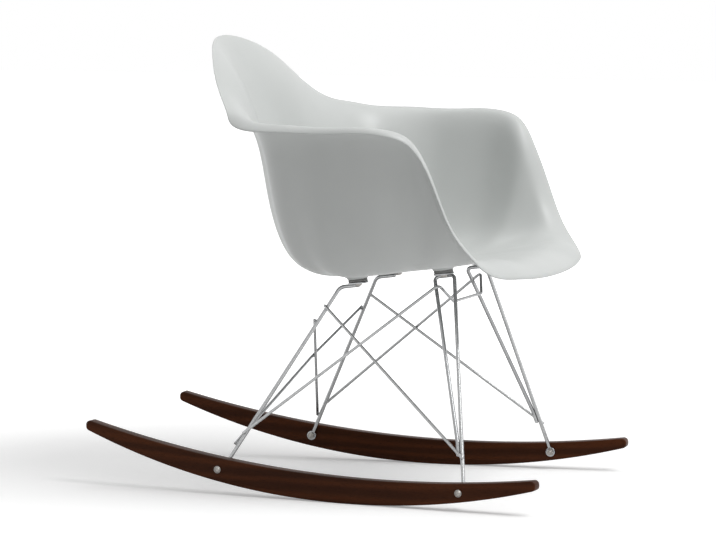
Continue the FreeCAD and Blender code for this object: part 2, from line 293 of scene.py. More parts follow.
def add_object(name: str, data: Any) -> Object:
    """Puts a mesh, camera or lamp into the scene at the origin.

    Args:
        name: Name of the object.
        data: What it shows.

    Returns:
        The object.
    """
    made = bpy.data.objects.new(name, data)
    bpy.context.scene.collection.objects.link(made)
    return made


def settle(piece: Object, crease: float) -> None:
    """Turns a piece's modifiers into its mesh.

    Args:
        piece: The piece.
        crease: Edges that turn by more than this, in degrees, stay sharp.
    """
    depsgraph = bpy.context.evaluated_depsgraph_get()
    mesh = bpy.data.meshes.new_from_object(piece.evaluated_get(depsgraph), depsgraph=depsgraph)
    piece.modifiers.clear()
    piece.data = mesh
    mesh.shade_smooth()
    mesh.set_sharp_from_angle(angle=radians(crease))


def combine(piece: Object, cutters: dict[str, Object]) -> None:
    """Joins or cuts a piece with others and settles it.

    Args:
        piece: The piece that stays.
        cutters: For each boolean operation the object that it uses up.
    """
    for operation, cutter in cutters.items():
        joint = piece.modifiers.new(operation, "BOOLEAN")
        joint.operation = operation
        joint.object = cutter
        joint.solver = "EXACT"
    settle(piece, BODY_CREASE)
    for cutter in cutters.values():
        bpy.data.objects.remove(cutter)


def dress(piece: Object, material: Material) -> None:
    """Gives a piece its only material."""
    piece.data.materials.clear()
    piece.data.materials.append(material)


def finish_piece(piece: Object, nodes: Sequence[str], material: Material) -> None:
    """Gives a piece its finish and hands it to the frame.

    Args:
        piece: The finished piece.
        nodes: CAD nodes that it stands for.
        material: Its material.
    """
    dress(piece, material)
    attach(piece, ROOT)
    if nodes:
        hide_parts(*nodes)
    faces = len(piece.data.polygons)
    log.info("%s: %d faces, in place of %s", piece.name, faces, ", ".join(nodes) or "nothing")


def round_rows(*pairs: Pair) -> list[Row]:
    """Round rows of a turned piece from radius and height."""
    return [(radius, height, Outline.ROUND) for radius, height in pairs]


def turned(name: str, rows: Sequence[Row], sides: int = 48) -> Mesh:
    """A piece turned about Z from rows of radius, height and outline.

    Args:
        name: Name of the mesh.
        rows: Rows from one end to the other. Where the first and last radius
            are 0 the piece is closed at poles, and otherwise it is a ring.
        sides: Faces around it.

    Returns:
        The closed mesh, in metres.
    """
    points: list[Vector] = []
    rings: list[list[int]] = []
    for radius, height, outline in rows:
        first = len(points)
        if radius == 0:
            points.append(Vector((0, 0, height)))
            rings.append([first] * sides)
            continue
        for k in range(sides):
            angle = 2 * pi * k / sides
            r = outline.reach(radius, angle)
            points.append(Vector((r * cos(angle), r * sin(angle), height)))
        rings.append(list(range(first, first + sides)))
    pairs = list(zip(rings, rings[1:]))
    if rows[0][0] > 0:
        pairs.append((rings[-1], rings[0]))
    faces = []
    for low, high in pairs:
        for k in range(sides):
            n = (k + 1) % sides
            faces.append(list(dict.fromkeys((low[k], low[n], high[n], high[k]))))
    return make_mesh(name, points, faces)


def ring_rows(corners: Sequence[Triple], steps: int = 4) -> list[Row]:
    """Round rows of a ring from the corners of its section, each with its rounding."""
    return round_rows(*round_corners(corners, steps))


# Node trees

class Graph:
    """Adds and joins the nodes of one tree."""

    def __init__(self, tree: NodeTree) -> None:
        """Keeps the tree that the nodes go into."""
        self.tree = tree

    def fill(self, node: Node, inputs: dict[Any, Any]) -> None:
        """Sets inputs of a node.

        Args:
            node: The node.
            inputs: For each input, by name or number, a value or the socket
                that feeds it.
        """
        for key, value in inputs.items():
            if isinstance(value, NodeSocket):
                self.tree.links.new(value, node.inputs[key])
            else:
                node.inputs[key].default_value = value

    def node(self, kind: str, inputs: dict[Any, Any] | None = None, **settings: Any) -> Node:
        """Adds one node.

        Args:
            kind: Blender's name of the node type.
            inputs: Inputs, as fill() takes them.
            **settings: Properties of the node.

        Returns:
            The node.
        """
        made = self.tree.nodes.new(kind)
        for key, value in settings.items():
            setattr(made, key, value)
        self.fill(made, inputs or {})
        return made

    def maths(self, operation: str, *values: Any) -> NodeSocket:
        """Output of one Math node."""
        made = self.node("ShaderNodeMath", dict(enumerate(values)), operation=operation)
        return made.outputs[0]

    def noise(self, vector: Any, scale: Any, detail: float = 2.0,
              roughness: float = 0.5) -> NodeSocket:
        """Output of one Noise Texture, about 0.5 on average."""
        made = self.node("ShaderNodeTexNoise", {
            "Vector": vector, "Scale": scale, "Detail": detail, "Roughness": roughness})
        return made.outputs["Fac"]

    def spread(self, value: Any, low: Any, high: Any, to_low: Any = 0.0,
               to_high: Any = 1.0) -> NodeSocket:
        """Carries a value from one range to another, held at both ends."""
        made = self.node("ShaderNodeMapRange", {
            "Value": value, "From Min": low, "From Max": high, "To Min": to_low, "To Max": to_high})
        return made.outputs["Result"]

    def tint(self, factor: Any, a: Any, b: Any) -> NodeSocket:
        """Mix of two colours, each a socket or a linear colour."""
        a, b = (c if isinstance(c, NodeSocket) else (*c, 1.0) for c in (a, b))
        return self.node("ShaderNodeMix", {0: factor, 6: a, 7: b}, data_type="RGBA").outputs[2]

    def stretch(self, vector: Any, scale: Triple) -> NodeSocket:
        """Vector with its three parts scaled."""
        return self.node("ShaderNodeMapping", {"Vector": vector, "Scale": scale}).outputs[0]

    def group(self, tree: NodeTree, inputs: dict[str, Any]) -> Node:
        """Places a shared group with its own values."""
        return self.node("ShaderNodeGroup", inputs, node_tree=tree)

    def bump(self, height: Any, strength: float, distance: float) -> NodeSocket:
        """Normal from a height that counts as metres times the distance."""
        made = self.node("ShaderNodeBump", {
            "Height": height, "Strength": strength, "Distance": distance})
        return made.outputs[0]

    def shown_white(self) -> NodeSocket:
        """1 for camera, glossy and transmission rays, and 0 for light.

        Returns:
            The output.
        """
        rays = self.node("ShaderNodeLightPath").outputs
        seen = self.maths("MAXIMUM", rays["Is Camera Ray"], rays["Is Glossy Ray"])
        return self.maths("MAXIMUM", seen, rays["Is Transmission Ray"])

    def end(self, made: Node, geometry: NodeSocket, finish: NodeSocket) -> NodeTree:
        """Ends a geometry tree with real geometry in its finish.

        Args:
            made: The tree's output node.
            geometry: What it gives out.
            finish: The material.

        Returns:
            The tree.
        """
        whole = self.node("GeometryNodeRealizeInstances", {"Geometry": geometry})
        dressed = self.node("GeometryNodeSetMaterial", {
            "Geometry": whole.outputs[0], "Material": finish})
        self.fill(made, {0: dressed.outputs[0]})
        return self.tree


def start_group(name: str, kind: str, inputs: dict[str, Any],
                outputs: dict[str, str]) -> tuple[Graph, Any, Node]:
    """Makes an empty node group with named sockets.

    Args:
        name: Name of the group.
        kind: Type of tree.
        inputs: For each name the number it starts at, or a socket's type.
        outputs: Type of each socket by name.

    Returns:
        The graph, the sockets that the inputs come in by, and the output node.
    """
    tree = bpy.data.node_groups.new(name, kind)
    for label, value in inputs.items():
        typed = isinstance(value, str)
        socket = "NodeSocket" + (value if typed else type(value).__name__.capitalize())
        made = tree.interface.new_socket(name=label, in_out="INPUT", socket_type=socket)
        if not typed:
            made.default_value = value
    for label, value in outputs.items():
        tree.interface.new_socket(name=label, in_out="OUTPUT", socket_type="NodeSocket" + value)
    given = tree.nodes.new("NodeGroupInput").outputs
    return Graph(tree), given, tree.nodes.new("NodeGroupOutput")


class Effects:
    """Shader groups that several finishes share, each built once."""

    def __init__(self) -> None:
        """Builds every group."""
        self.grain = self._grain()
        self.wear = self._wear()
        self.dust = self._dust()
        self.scratches = self._scratches()

    def _grain(self) -> NodeTree:
        """Fine grain of a surface, and slow clouds over it.

        Returns:
            The group.
        """
        g, given, made = start_group("fine_grain", "ShaderNodeTree", {
            "Vector": "Vector", "Grain Scale": 900.0, "Cloud Scale": 6.0},
            {"Height": "Float", "Cloud": "Float"})
        fine = g.noise(given["Vector"], given["Grain Scale"], 3.0, 0.6)
        cloud = g.noise(given["Vector"], given["Cloud Scale"], 4.0, 0.55)
        g.fill(made, {"Height": fine, "Cloud": g.spread(cloud, 0.3, 0.7)})
        return g.tree

    def _wear(self) -> NodeTree:
        """Mask of the worn outer edges.

        Returns:
            The group.
        """
        g, given, made = start_group("edge_wear", "ShaderNodeTree", {
            "Vector": "Vector", "Start": 0.52, "Full": 0.62, "Break Scale": 120.0},
            {"Mask": "Float"})
        shape = g.node("ShaderNodeNewGeometry").outputs["Pointiness"]
        edge = g.spread(shape, given["Start"], given["Full"])
        broken = g.spread(g.noise(given["Vector"], given["Break Scale"], 4.0), 0.35, 0.65)
        g.fill(made, {"Mask": g.maths("MULTIPLY", edge, broken)})
        return g.tree

    def _dust(self) -> NodeTree:
        """Mask of the dust that settles on faces that look up.

        Returns:
            The group.
        """
        g, given, made = start_group("settled_dust", "ShaderNodeTree", {
            "Vector": "Vector", "Scale": 40.0, "Amount": 0.2}, {"Mask": "Float"})
        normal = g.node("ShaderNodeNewGeometry").outputs["Normal"]
        up = g.node("ShaderNodeSeparateXYZ", {0: normal}).outputs["Z"]
        patchy = g.spread(g.noise(given["Vector"], given["Scale"], 5.0, 0.7), 0.3, 0.75)
        lying = g.maths("MULTIPLY", g.spread(up, 0.2, 0.95), patchy)
        g.fill(made, {"Mask": g.maths("MULTIPLY", lying, given["Amount"])})
        return g.tree

    def _scratches(self) -> NodeTree:
        """Thin marks that run every way over hard finishes.

        Returns:
            The group.
        """
        g, given, made = start_group("thin_scratches", "ShaderNodeTree", {
            "Vector": "Vector", "Scale": 60.0}, {"Mask": "Float"})
        marks = []
        for turn in ((0.3, 0.9, 0.2), (1.2, 0.1, 1.7), (0.7, 2.1, 0.9)):
            laid = g.node("ShaderNodeMapping", {
                "Vector": given["Vector"], "Rotation": turn, "Scale": (1.0, 22.0, 22.0)})
            marks.append(g.spread(g.noise(laid.outputs[0], given["Scale"], 1.0), 0.69, 0.72))
        both = g.maths("MAXIMUM", marks[0], marks[1])
        g.fill(made, {"Mask": g.maths("MAXIMUM", both, marks[2])})
        return g.tree


# Finishes

@dataclass(frozen=True)
class Finish:
    """What every finish starts from.

    Attributes:
        name: Name of the material.
        colour: Main colour, linear as all colours here.
        roughness: Middle of the roughness range.
    """

    name: str
    colour: Triple
    roughness: float

    def start(self) -> tuple[Material, Graph, Node, NodeSocket]:
        """Starts an empty material.

        Returns:
            The material, its graph, its shader and the place on the object.
        """
        material = bpy.data.materials.new(self.name)
        material.use_nodes = True
        g = Graph(material.node_tree)
        place = g.node("ShaderNodeTexCoord").outputs["Object"]
        return material, g, material.node_tree.nodes["Principled BSDF"], place


@dataclass(frozen=True)
class ShellPlastic(Finish):
    """Satin moulding with a fine even texture and a faint flow of tone."""

    shade: Triple
    dust: Triple = (0.66, 0.65, 0.62)

    def build(self, effects: Effects) -> Material:
        """Makes the material.

        Args:
            effects: The shared groups.

        Returns:
            The material.
        """
        material, g, shader, place = self.start()
        grain = g.group(effects.grain, {
            "Vector": place, "Grain Scale": 1500.0, "Cloud Scale": 4.5}).outputs
        dust = g.group(effects.dust, {"Vector": place, "Scale": 55.0, "Amount": 0.05}).outputs
        marks = g.group(effects.scratches, {"Vector": place, "Scale": 9.0}).outputs
        body = g.tint(grain["Cloud"], self.shade, self.colour)
        rough = g.spread(grain["Cloud"], 0.0, 1.0, self.roughness + 0.04, self.roughness - 0.04)
        g.fill(shader, {
            "Base Color": g.tint(dust["Mask"], body, self.dust),
            "Roughness": g.maths("ADD", rough, g.maths("MULTIPLY", marks["Mask"], 0.06)),
            "IOR": 1.49,
            "Normal": g.bump(grain["Height"], 0.25, 0.00012)})
        return material


@dataclass(frozen=True)
class StainedWood(Finish):
    """Dark stained hardwood, with rings along the board and open pores.

    Attributes:
        turn: Angle of the board's length from Y, in degrees.
        dark, bare: Colours of the dark rings and of the worn edges.
        bend_radius: Of the rings along the board, in metres.
        rise, lean: Turn of the rings per metre of height and of thickness.
    """

    turn: float
    dark: Triple = (0.025, 0.0062, 0.0012)
    bare: Triple = (0.2, 0.1, 0.05)
    dust: Triple = (0.5, 0.47, 0.43)
    bend_radius: float = 1.7
    rise: float = 300.0
    lean: float = 120.0

    def build(self, effects: Effects) -> Material:
        """Makes the material.

        Args:
            effects: The shared groups.

        Returns:
            The material.
        """
        material, g, shader, place = self.start()
        along = g.node("ShaderNodeMapping", {
            "Vector": place, "Rotation": (0, 0, radians(self.turn))}).outputs[0]
        x, y, z = g.node("ShaderNodeSeparateXYZ", {0: along}).outputs
        sag = g.maths("DIVIDE", g.maths("MULTIPLY", y, y), 2 * self.bend_radius)
        level = g.maths("SUBTRACT", z, g.maths("MULTIPLY", sag, 0.35))
        slow = g.stretch(along, (9.0, 1.1, 9.0))
        ring = g.maths(
            "ADD", g.maths("MULTIPLY", level, self.rise), g.maths("MULTIPLY", x, self.lean))
        wavy = g.maths("ADD", ring, g.maths("MULTIPLY", g.noise(slow, 1.6, 3.0), 16.0))
        early = g.maths("POWER", g.maths("MULTIPLY_ADD", g.maths("SINE", wavy), 0.5, 0.5), 1.8)
        fibre = g.noise(g.stretch(along, (1.0, 0.035, 1.0)), 1300.0, 3.0, 0.65)
        pore = g.spread(g.noise(g.stretch(along, (1.0, 0.05, 1.0)), 2600.0, 1.0), 0.63, 0.7)
        cloud = g.group(effects.grain, {
            "Vector": slow, "Grain Scale": 40.0, "Cloud Scale": 2.2}).outputs["Cloud"]
        tone = g.maths("MULTIPLY_ADD", early, 0.45, g.maths("MULTIPLY", fibre, 0.35))
        tone = g.maths("MULTIPLY_ADD", cloud, 0.3, tone)
        body = g.tint(g.spread(tone, 0.1, 0.95), self.dark, self.colour)
        deep = tuple(c * 0.35 for c in self.dark)
        pored = g.tint(g.maths("MULTIPLY", pore, 0.7), body, deep)
        wear = g.group(effects.wear, {
            "Vector": place, "Start": 0.56, "Full": 0.7, "Break Scale": 90.0}).outputs["Mask"]
        worn = g.tint(g.maths("MULTIPLY", wear, 0.25), pored, self.bare)
        dust = g.group(effects.dust, {
            "Vector": place, "Scale": 70.0, "Amount": 0.03}).outputs["Mask"]
        rough = g.spread(tone, 0.0, 1.0, self.roughness + 0.06, self.roughness - 0.06)
        height = g.maths("SUBTRACT", g.maths("MULTIPLY", fibre, 0.4), pore)
        g.fill(shader, {
            "Base Color": g.tint(dust, worn, self.dust),
            "Roughness": g.maths("MULTIPLY_ADD", pore, 0.2, rough),
            "Specular IOR Level": 0.08, "Coat Weight": 0.03, "Coat Roughness": 0.25,
            "Normal": g.bump(height, 0.3, 0.00015)})
        return material


@dataclass(frozen=True)
class PlatedMetal(Finish):
    """Bright or dull metal, with stained handling marks and rubbed edges."""

    stain: Triple
    rubbed: Triple = (0.9, 0.9, 0.88)
    wear_share: float = 0.2
    grain_scale: float = 700.0

    def build(self, effects: Effects) -> Material:
        """Makes the material.

        Args:
            effects: The shared groups.

        Returns:
            The material.
        """
        material, g, shader, place = self.start()
        grain = g.group(effects.grain, {
            "Vector": place, "Grain Scale": self.grain_scale, "Cloud Scale": 38.0}).outputs
        marks = g.group(effects.scratches, {"Vector": place, "Scale": 45.0}).outputs["Mask"]
        wear = g.group(effects.wear, {
            "Vector": place, "Start": 0.55, "Full": 0.75, "Break Scale": 400.0}).outputs["Mask"]
        handled = g.spread(grain["Cloud"], 0.55, 1.0, 0.0, 0.35)
        soiled = g.tint(handled, self.colour, self.stain)
        rough = g.spread(grain["Cloud"], 0.0, 1.0, self.roughness - 0.05, self.roughness + 0.08)
        g.fill(shader, {
            "Base Color": g.tint(g.maths("MULTIPLY", wear, self.wear_share), soiled, self.rubbed),
            "Metallic": 1.0,
            "Roughness": g.maths("MULTIPLY_ADD", marks, 0.12, rough),
            "Normal": g.bump(grain["Height"], 0.15, 0.00008)})
        return material


@dataclass(frozen=True)
class MouldedRubber(Finish):
    """Dull grey rubber with bloom and dust in its texture."""

    bloom: Triple
    dust: Triple = (0.35, 0.33, 0.3)

    def build(self, effects: Effects) -> Material:
        """Makes the material.

        Args:
            effects: The shared groups.

        Returns:
            The material.
        """
        material, g, shader, place = self.start()
        grain = g.group(effects.grain, {
            "Vector": place, "Grain Scale": 1800.0, "Cloud Scale": 60.0}).outputs
        dust = g.group(effects.dust, {
            "Vector": place, "Scale": 160.0, "Amount": 0.25}).outputs["Mask"]
        wear = g.group(effects.wear, {
            "Vector": place, "Start": 0.52, "Full": 0.65, "Break Scale": 300.0}).outputs["Mask"]
        body = g.tint(g.maths("MULTIPLY", grain["Cloud"], 0.6), self.colour, self.bloom)
        edged = g.tint(g.maths("MULTIPLY", wear, 0.4), body, self.bloom)
        g.fill(shader, {
            "Base Color": g.tint(dust, edged, self.dust),
            "Roughness": g.spread(grain["Cloud"], 0.0, 1.0, self.roughness, self.roughness + 0.12),
            "Normal": g.bump(grain["Height"], 0.5, 0.0002)})
        return material


def build_finishes(toe: float) -> dict[str, Material]:
    """Builds the shared effects and then every finish of the chair.

    Args:
        toe: Angle of the rockers, in degrees.

    Returns:
        The material by slot, and by node for the rockers.
    """
    finishes: dict[str, Finish] = {
        "shell": ShellPlastic(
            "satin_shell", (0.575, 0.592, 0.582), 0.42, shade=(0.545, 0.564, 0.553)),
        **{"rocker_" + side.word: StainedWood(
            "stained_wood_" + side.word, (0.085, 0.0225, 0.0055), 0.45, turn=-toe * side.value)
           for side in Side},
        "wire": PlatedMetal(
            "bright_wire", (0.36, 0.365, 0.37), 0.16, stain=(0.24, 0.245, 0.25)),
        "fastener": PlatedMetal(
            "zinc_plate", (0.36, 0.345, 0.325), 0.38, stain=(0.27, 0.255, 0.235), wear_share=0.5,
            grain_scale=1600.0),
        "insert": PlatedMetal(
            "turned_brass", (0.68, 0.47, 0.18), 0.28, stain=(0.4, 0.26, 0.1)),
        "rubber": MouldedRubber(
            "moulded_rubber", (0.2, 0.2, 0.196), 0.68, bloom=(0.25, 0.25, 0.246))}
    effects = Effects()
    return {slot: finish.build(effects) for slot, finish in finishes.items()}


# Geometry Nodes

@dataclass(frozen=True)
class Scatter:
    """How copies differ from each other.

    Attributes:
        turn: Largest turn about a copy's axis, in radians.
        size: Smallest size of a copy, where 1 is the pattern's own.
        seed: Of the turns and sizes.
    """

    turn: float = 0.0
    size: float = 1.0
    seed: int = 3


class Workshop:
    """Lays what repeats or follows a path, and dresses it."""

    def __init__(self, toe: float) -> None:
        """Builds every finish and both geometry node trees.

        Args:
            toe: Angle of the rockers, in degrees.
        """
        self.finishes = build_finishes(toe)
        self.wire = self._wire()
        self.copies = self._copies()

    def _wire(self) -> NodeTree:
        """Round wire along a path of straight runs, with rounded bends.

        Returns:
            The tree.
        """
        g, given, made = start_group("bent_wire", "GeometryNodeTree", {
            "Path": "Geometry", "Diameter": 0.005, "Bend Radius": 0.008, "Bend Steps": 14,
            "Sides": 24, "Finish": "Material"}, {"Wire": "Geometry"})
        path = g.node("GeometryNodeMeshToCurve", {"Mesh": given["Path"]}).outputs[0]
        bent = g.node("GeometryNodeFilletCurve", {
            "Curve": path, "Count": given["Bend Steps"], "Radius": given["Bend Radius"],
            "Limit Radius": True}, mode="POLY")
        half = g.maths("MULTIPLY", given["Diameter"], 0.5)
        ring = g.node("GeometryNodeCurvePrimitiveCircle", {
            "Resolution": given["Sides"], "Radius": half})
        taper = g.node("GeometryNodeInputNamedAttribute", {"Name": "taper"}, data_type="FLOAT")
        tube = g.node("GeometryNodeCurveToMesh", {
            "Curve": bent.outputs[0], "Profile Curve": ring.outputs["Curve"],
            "Scale": taper.outputs["Attribute"], "Fill Caps": True})
        return g.end(made, tube.outputs[0], given["Finish"])

    def _copies(self) -> NodeTree:
        """One pattern at each point, square to the point's own axis.

        Returns:
            The tree.
        """
        g, given, made = start_group("seated_copies", "GeometryNodeTree", {
            "Seats": "Geometry", "Pattern": "Object", "Most Turn": 0.0, "Least Size": 1.0,
            "Seed": 3, "Finish": "Material"}, {"Copies": "Geometry"})
        pattern = g.node("GeometryNodeObjectInfo", {
            "Object": given["Pattern"], "As Instance": False}).outputs["Geometry"]
        axis = g.node(
            "GeometryNodeInputNamedAttribute", {"Name": "axis"}, data_type="FLOAT_VECTOR")
        square = g.node("FunctionNodeAlignRotationToVector", {
            "Vector": axis.outputs["Attribute"]}, axis="Z")
        turn, size = (
            g.node("FunctionNodeRandomValue", {2: low, 3: high, "Seed": given["Seed"]}).outputs[1]
            for low, high in ((0.0, given["Most Turn"]), (given["Least Size"], 1.0)))
        spin = g.node("FunctionNodeAxisAngleToRotation", {"Axis": (0, 0, 1), "Angle": turn})
        laid = g.node("FunctionNodeRotateRotation", {
            "Rotation": square.outputs[0], "Rotate By": spin.outputs[0]}, rotation_space="LOCAL")
        copies = g.node("GeometryNodeInstanceOnPoints", {
            "Points": given["Seats"], "Instance": pattern, "Rotation": laid.outputs[0],
            "Scale": size})
        return g.end(made, copies.outputs[0], given["Finish"])

    def run(self, piece: Object, tree: NodeTree, values: dict[str, Any], crease: float) -> None:
        """Runs a tree on a piece and keeps the result as its mesh.

        Args:
            piece: Object that carries the path or the seats.
            tree: One of this class's trees.
            values: Value of each named input.
            crease: Edges that turn by more than this, in degrees, stay sharp.
        """
        modifier = piece.modifiers.new("tree", "NODES")
        modifier.node_group = tree
        for item in tree.interface.items_tree:
            if item.in_out == "INPUT" and item.name in values:
                modifier[item.identifier] = values[item.name]
        piece.update_tag()
        settle(piece, crease)

    def carrier(self, name: str, points: Sequence[Vector], edges: Sequence[tuple[int, int]],
                label: str, values: Sequence[float]) -> Object:
        """Object with the points that a tree starts from.

        Args:
            name: Name of the object.
            points: Places in millimetres.
            edges: Numbers of the two points of each edge.
            label: Name of what the points carry.
            values: What they carry, one number or three for each.

        Returns:
            The object.
        """
        mesh = bpy.data.meshes.new(name)
        mesh.from_pydata([p * MM for p in points], edges, [])
        kind, key = ("FLOAT", "value") if len(values) == len(points) else ("FLOAT_VECTOR", "vector")
        mesh.attributes.new(label, kind, "POINT").data.foreach_set(key, values)
        return add_object(name, mesh)

    def lay_wire(self, name: str, path: Sequence[Vector], diameter: float, bend: float,
                 nodes: Sequence[str]) -> None:
        """Makes a wire with rounded bends and slightly rounded ends.

        Args:
            name: Name of the piece.
            path: Corners of the wire, in millimetres.
            diameter: Of the wire, in millimetres.
            bend: Radius of its bends, on the middle of the wire.
            nodes: CAD nodes that it stands for.
        """
        ends = ((0.0, 0.78), (0.08, 0.92), (0.2, 1.0))
        first, last = unit(path[1] - path[0]), unit(path[-2] - path[-1])
        run = [(path[0] + first * (diameter * deep), taper) for deep, taper in ends]
        run += [(p, 1.0) for p in path[1:-1]]
        run += [(path[-1] + last * (diameter * deep), taper) for deep, taper in reversed(ends)]
        points, tapers = zip(*run)
        edges = [(i, i + 1) for i in range(len(run) - 1)]
        piece = self.carrier(name, points, edges, "taper", tapers)
        self.run(piece, self.wire, {
            "Diameter": diameter * MM, "Bend Radius": bend * MM,
            "Finish": self.finishes["wire"]}, WIRE_CREASE)
        finish_piece(piece, nodes, self.finishes["wire"])

    def set_out(self, name: str, slot: str, pattern: Mesh, seats: Sequence[Seat],
                nodes: Sequence[str] | None = None, scatter: Scatter = Scatter()) -> Object:
        """Copies of a pattern on seats.

        Args:
            name: Name of the piece.
            slot: Slot of the record that its finish comes from.
            pattern: Mesh with its seat at the origin and its axis along Z.
            seats: Place in millimetres and axis of each copy.
            nodes: CAD nodes that it stands for, or None where another piece
                uses it up.
            scatter: How the copies differ.

        Returns:
            The piece.
        """
        points, axes = zip(*seats)
        piece = self.carrier(name, points, [], "axis", [part for axis in axes for part in axis])
        source = add_object(name + "_pattern", pattern)
        self.run(piece, self.copies, {
            "Pattern": source, "Most Turn": scatter.turn, "Least Size": scatter.size,
            "Seed": scatter.seed, "Finish": self.finishes[slot]}, COPY_CREASE)
        bpy.data.objects.remove(source)
        if nodes is not None:
            finish_piece(piece, nodes, self.finishes[slot])
        return piece


# The chair

@dataclass
class SeatPlane:
    """The flat of the seat and the four mounts on its underside."""

    centre: float = -75.0
    height: float = 358.0
    tilt: float = 7.6
    spread: float = 194.0
    front: float = -188.0
    rear: float = -40.0
    boss_height: float = 4.0
    pad: float = 5.0
    plate: float = 3.0
    insert_length: float = 8.0

    @property
    def up(self) -> Vector:
        """Direction square to the seat."""
        return Vector((0, sin(radians(self.tilt)), cos(radians(self.tilt))))

    @property
    def stack(self) -> float:
        """Depth of boss, pad and plate together."""
        return self.boss_height + self.pad + self.plate

    def level(self, y: float) -> float:
        """Height of the underside of the flat, carried on to any y."""
        return self.height - (y - self.centre) * tan(radians(self.tilt))

    def mounts(self, depth: float = 0.0) -> list[Seat]:
        """The four mounts, from the rear right to the front left.

        Args:
            depth: How far below the flat they are.

        Returns:
            The place of each, with the way down.
        """
        half = self.spread / 2
        spots = [(x, y) for y in (self.rear, self.front) for x in (-half, half)]
        return [(Vector((x, y, self.level(y))) - self.up * depth, self.up * -1) for x, y in spots]

    def under_plate(self, x: float, y: float, diameter: float) -> Vector:
        """Middle of a wire that lies against the plates."""
        return Vector((x, y, self.level(y))) - self.up * (self.stack + diameter / 2)


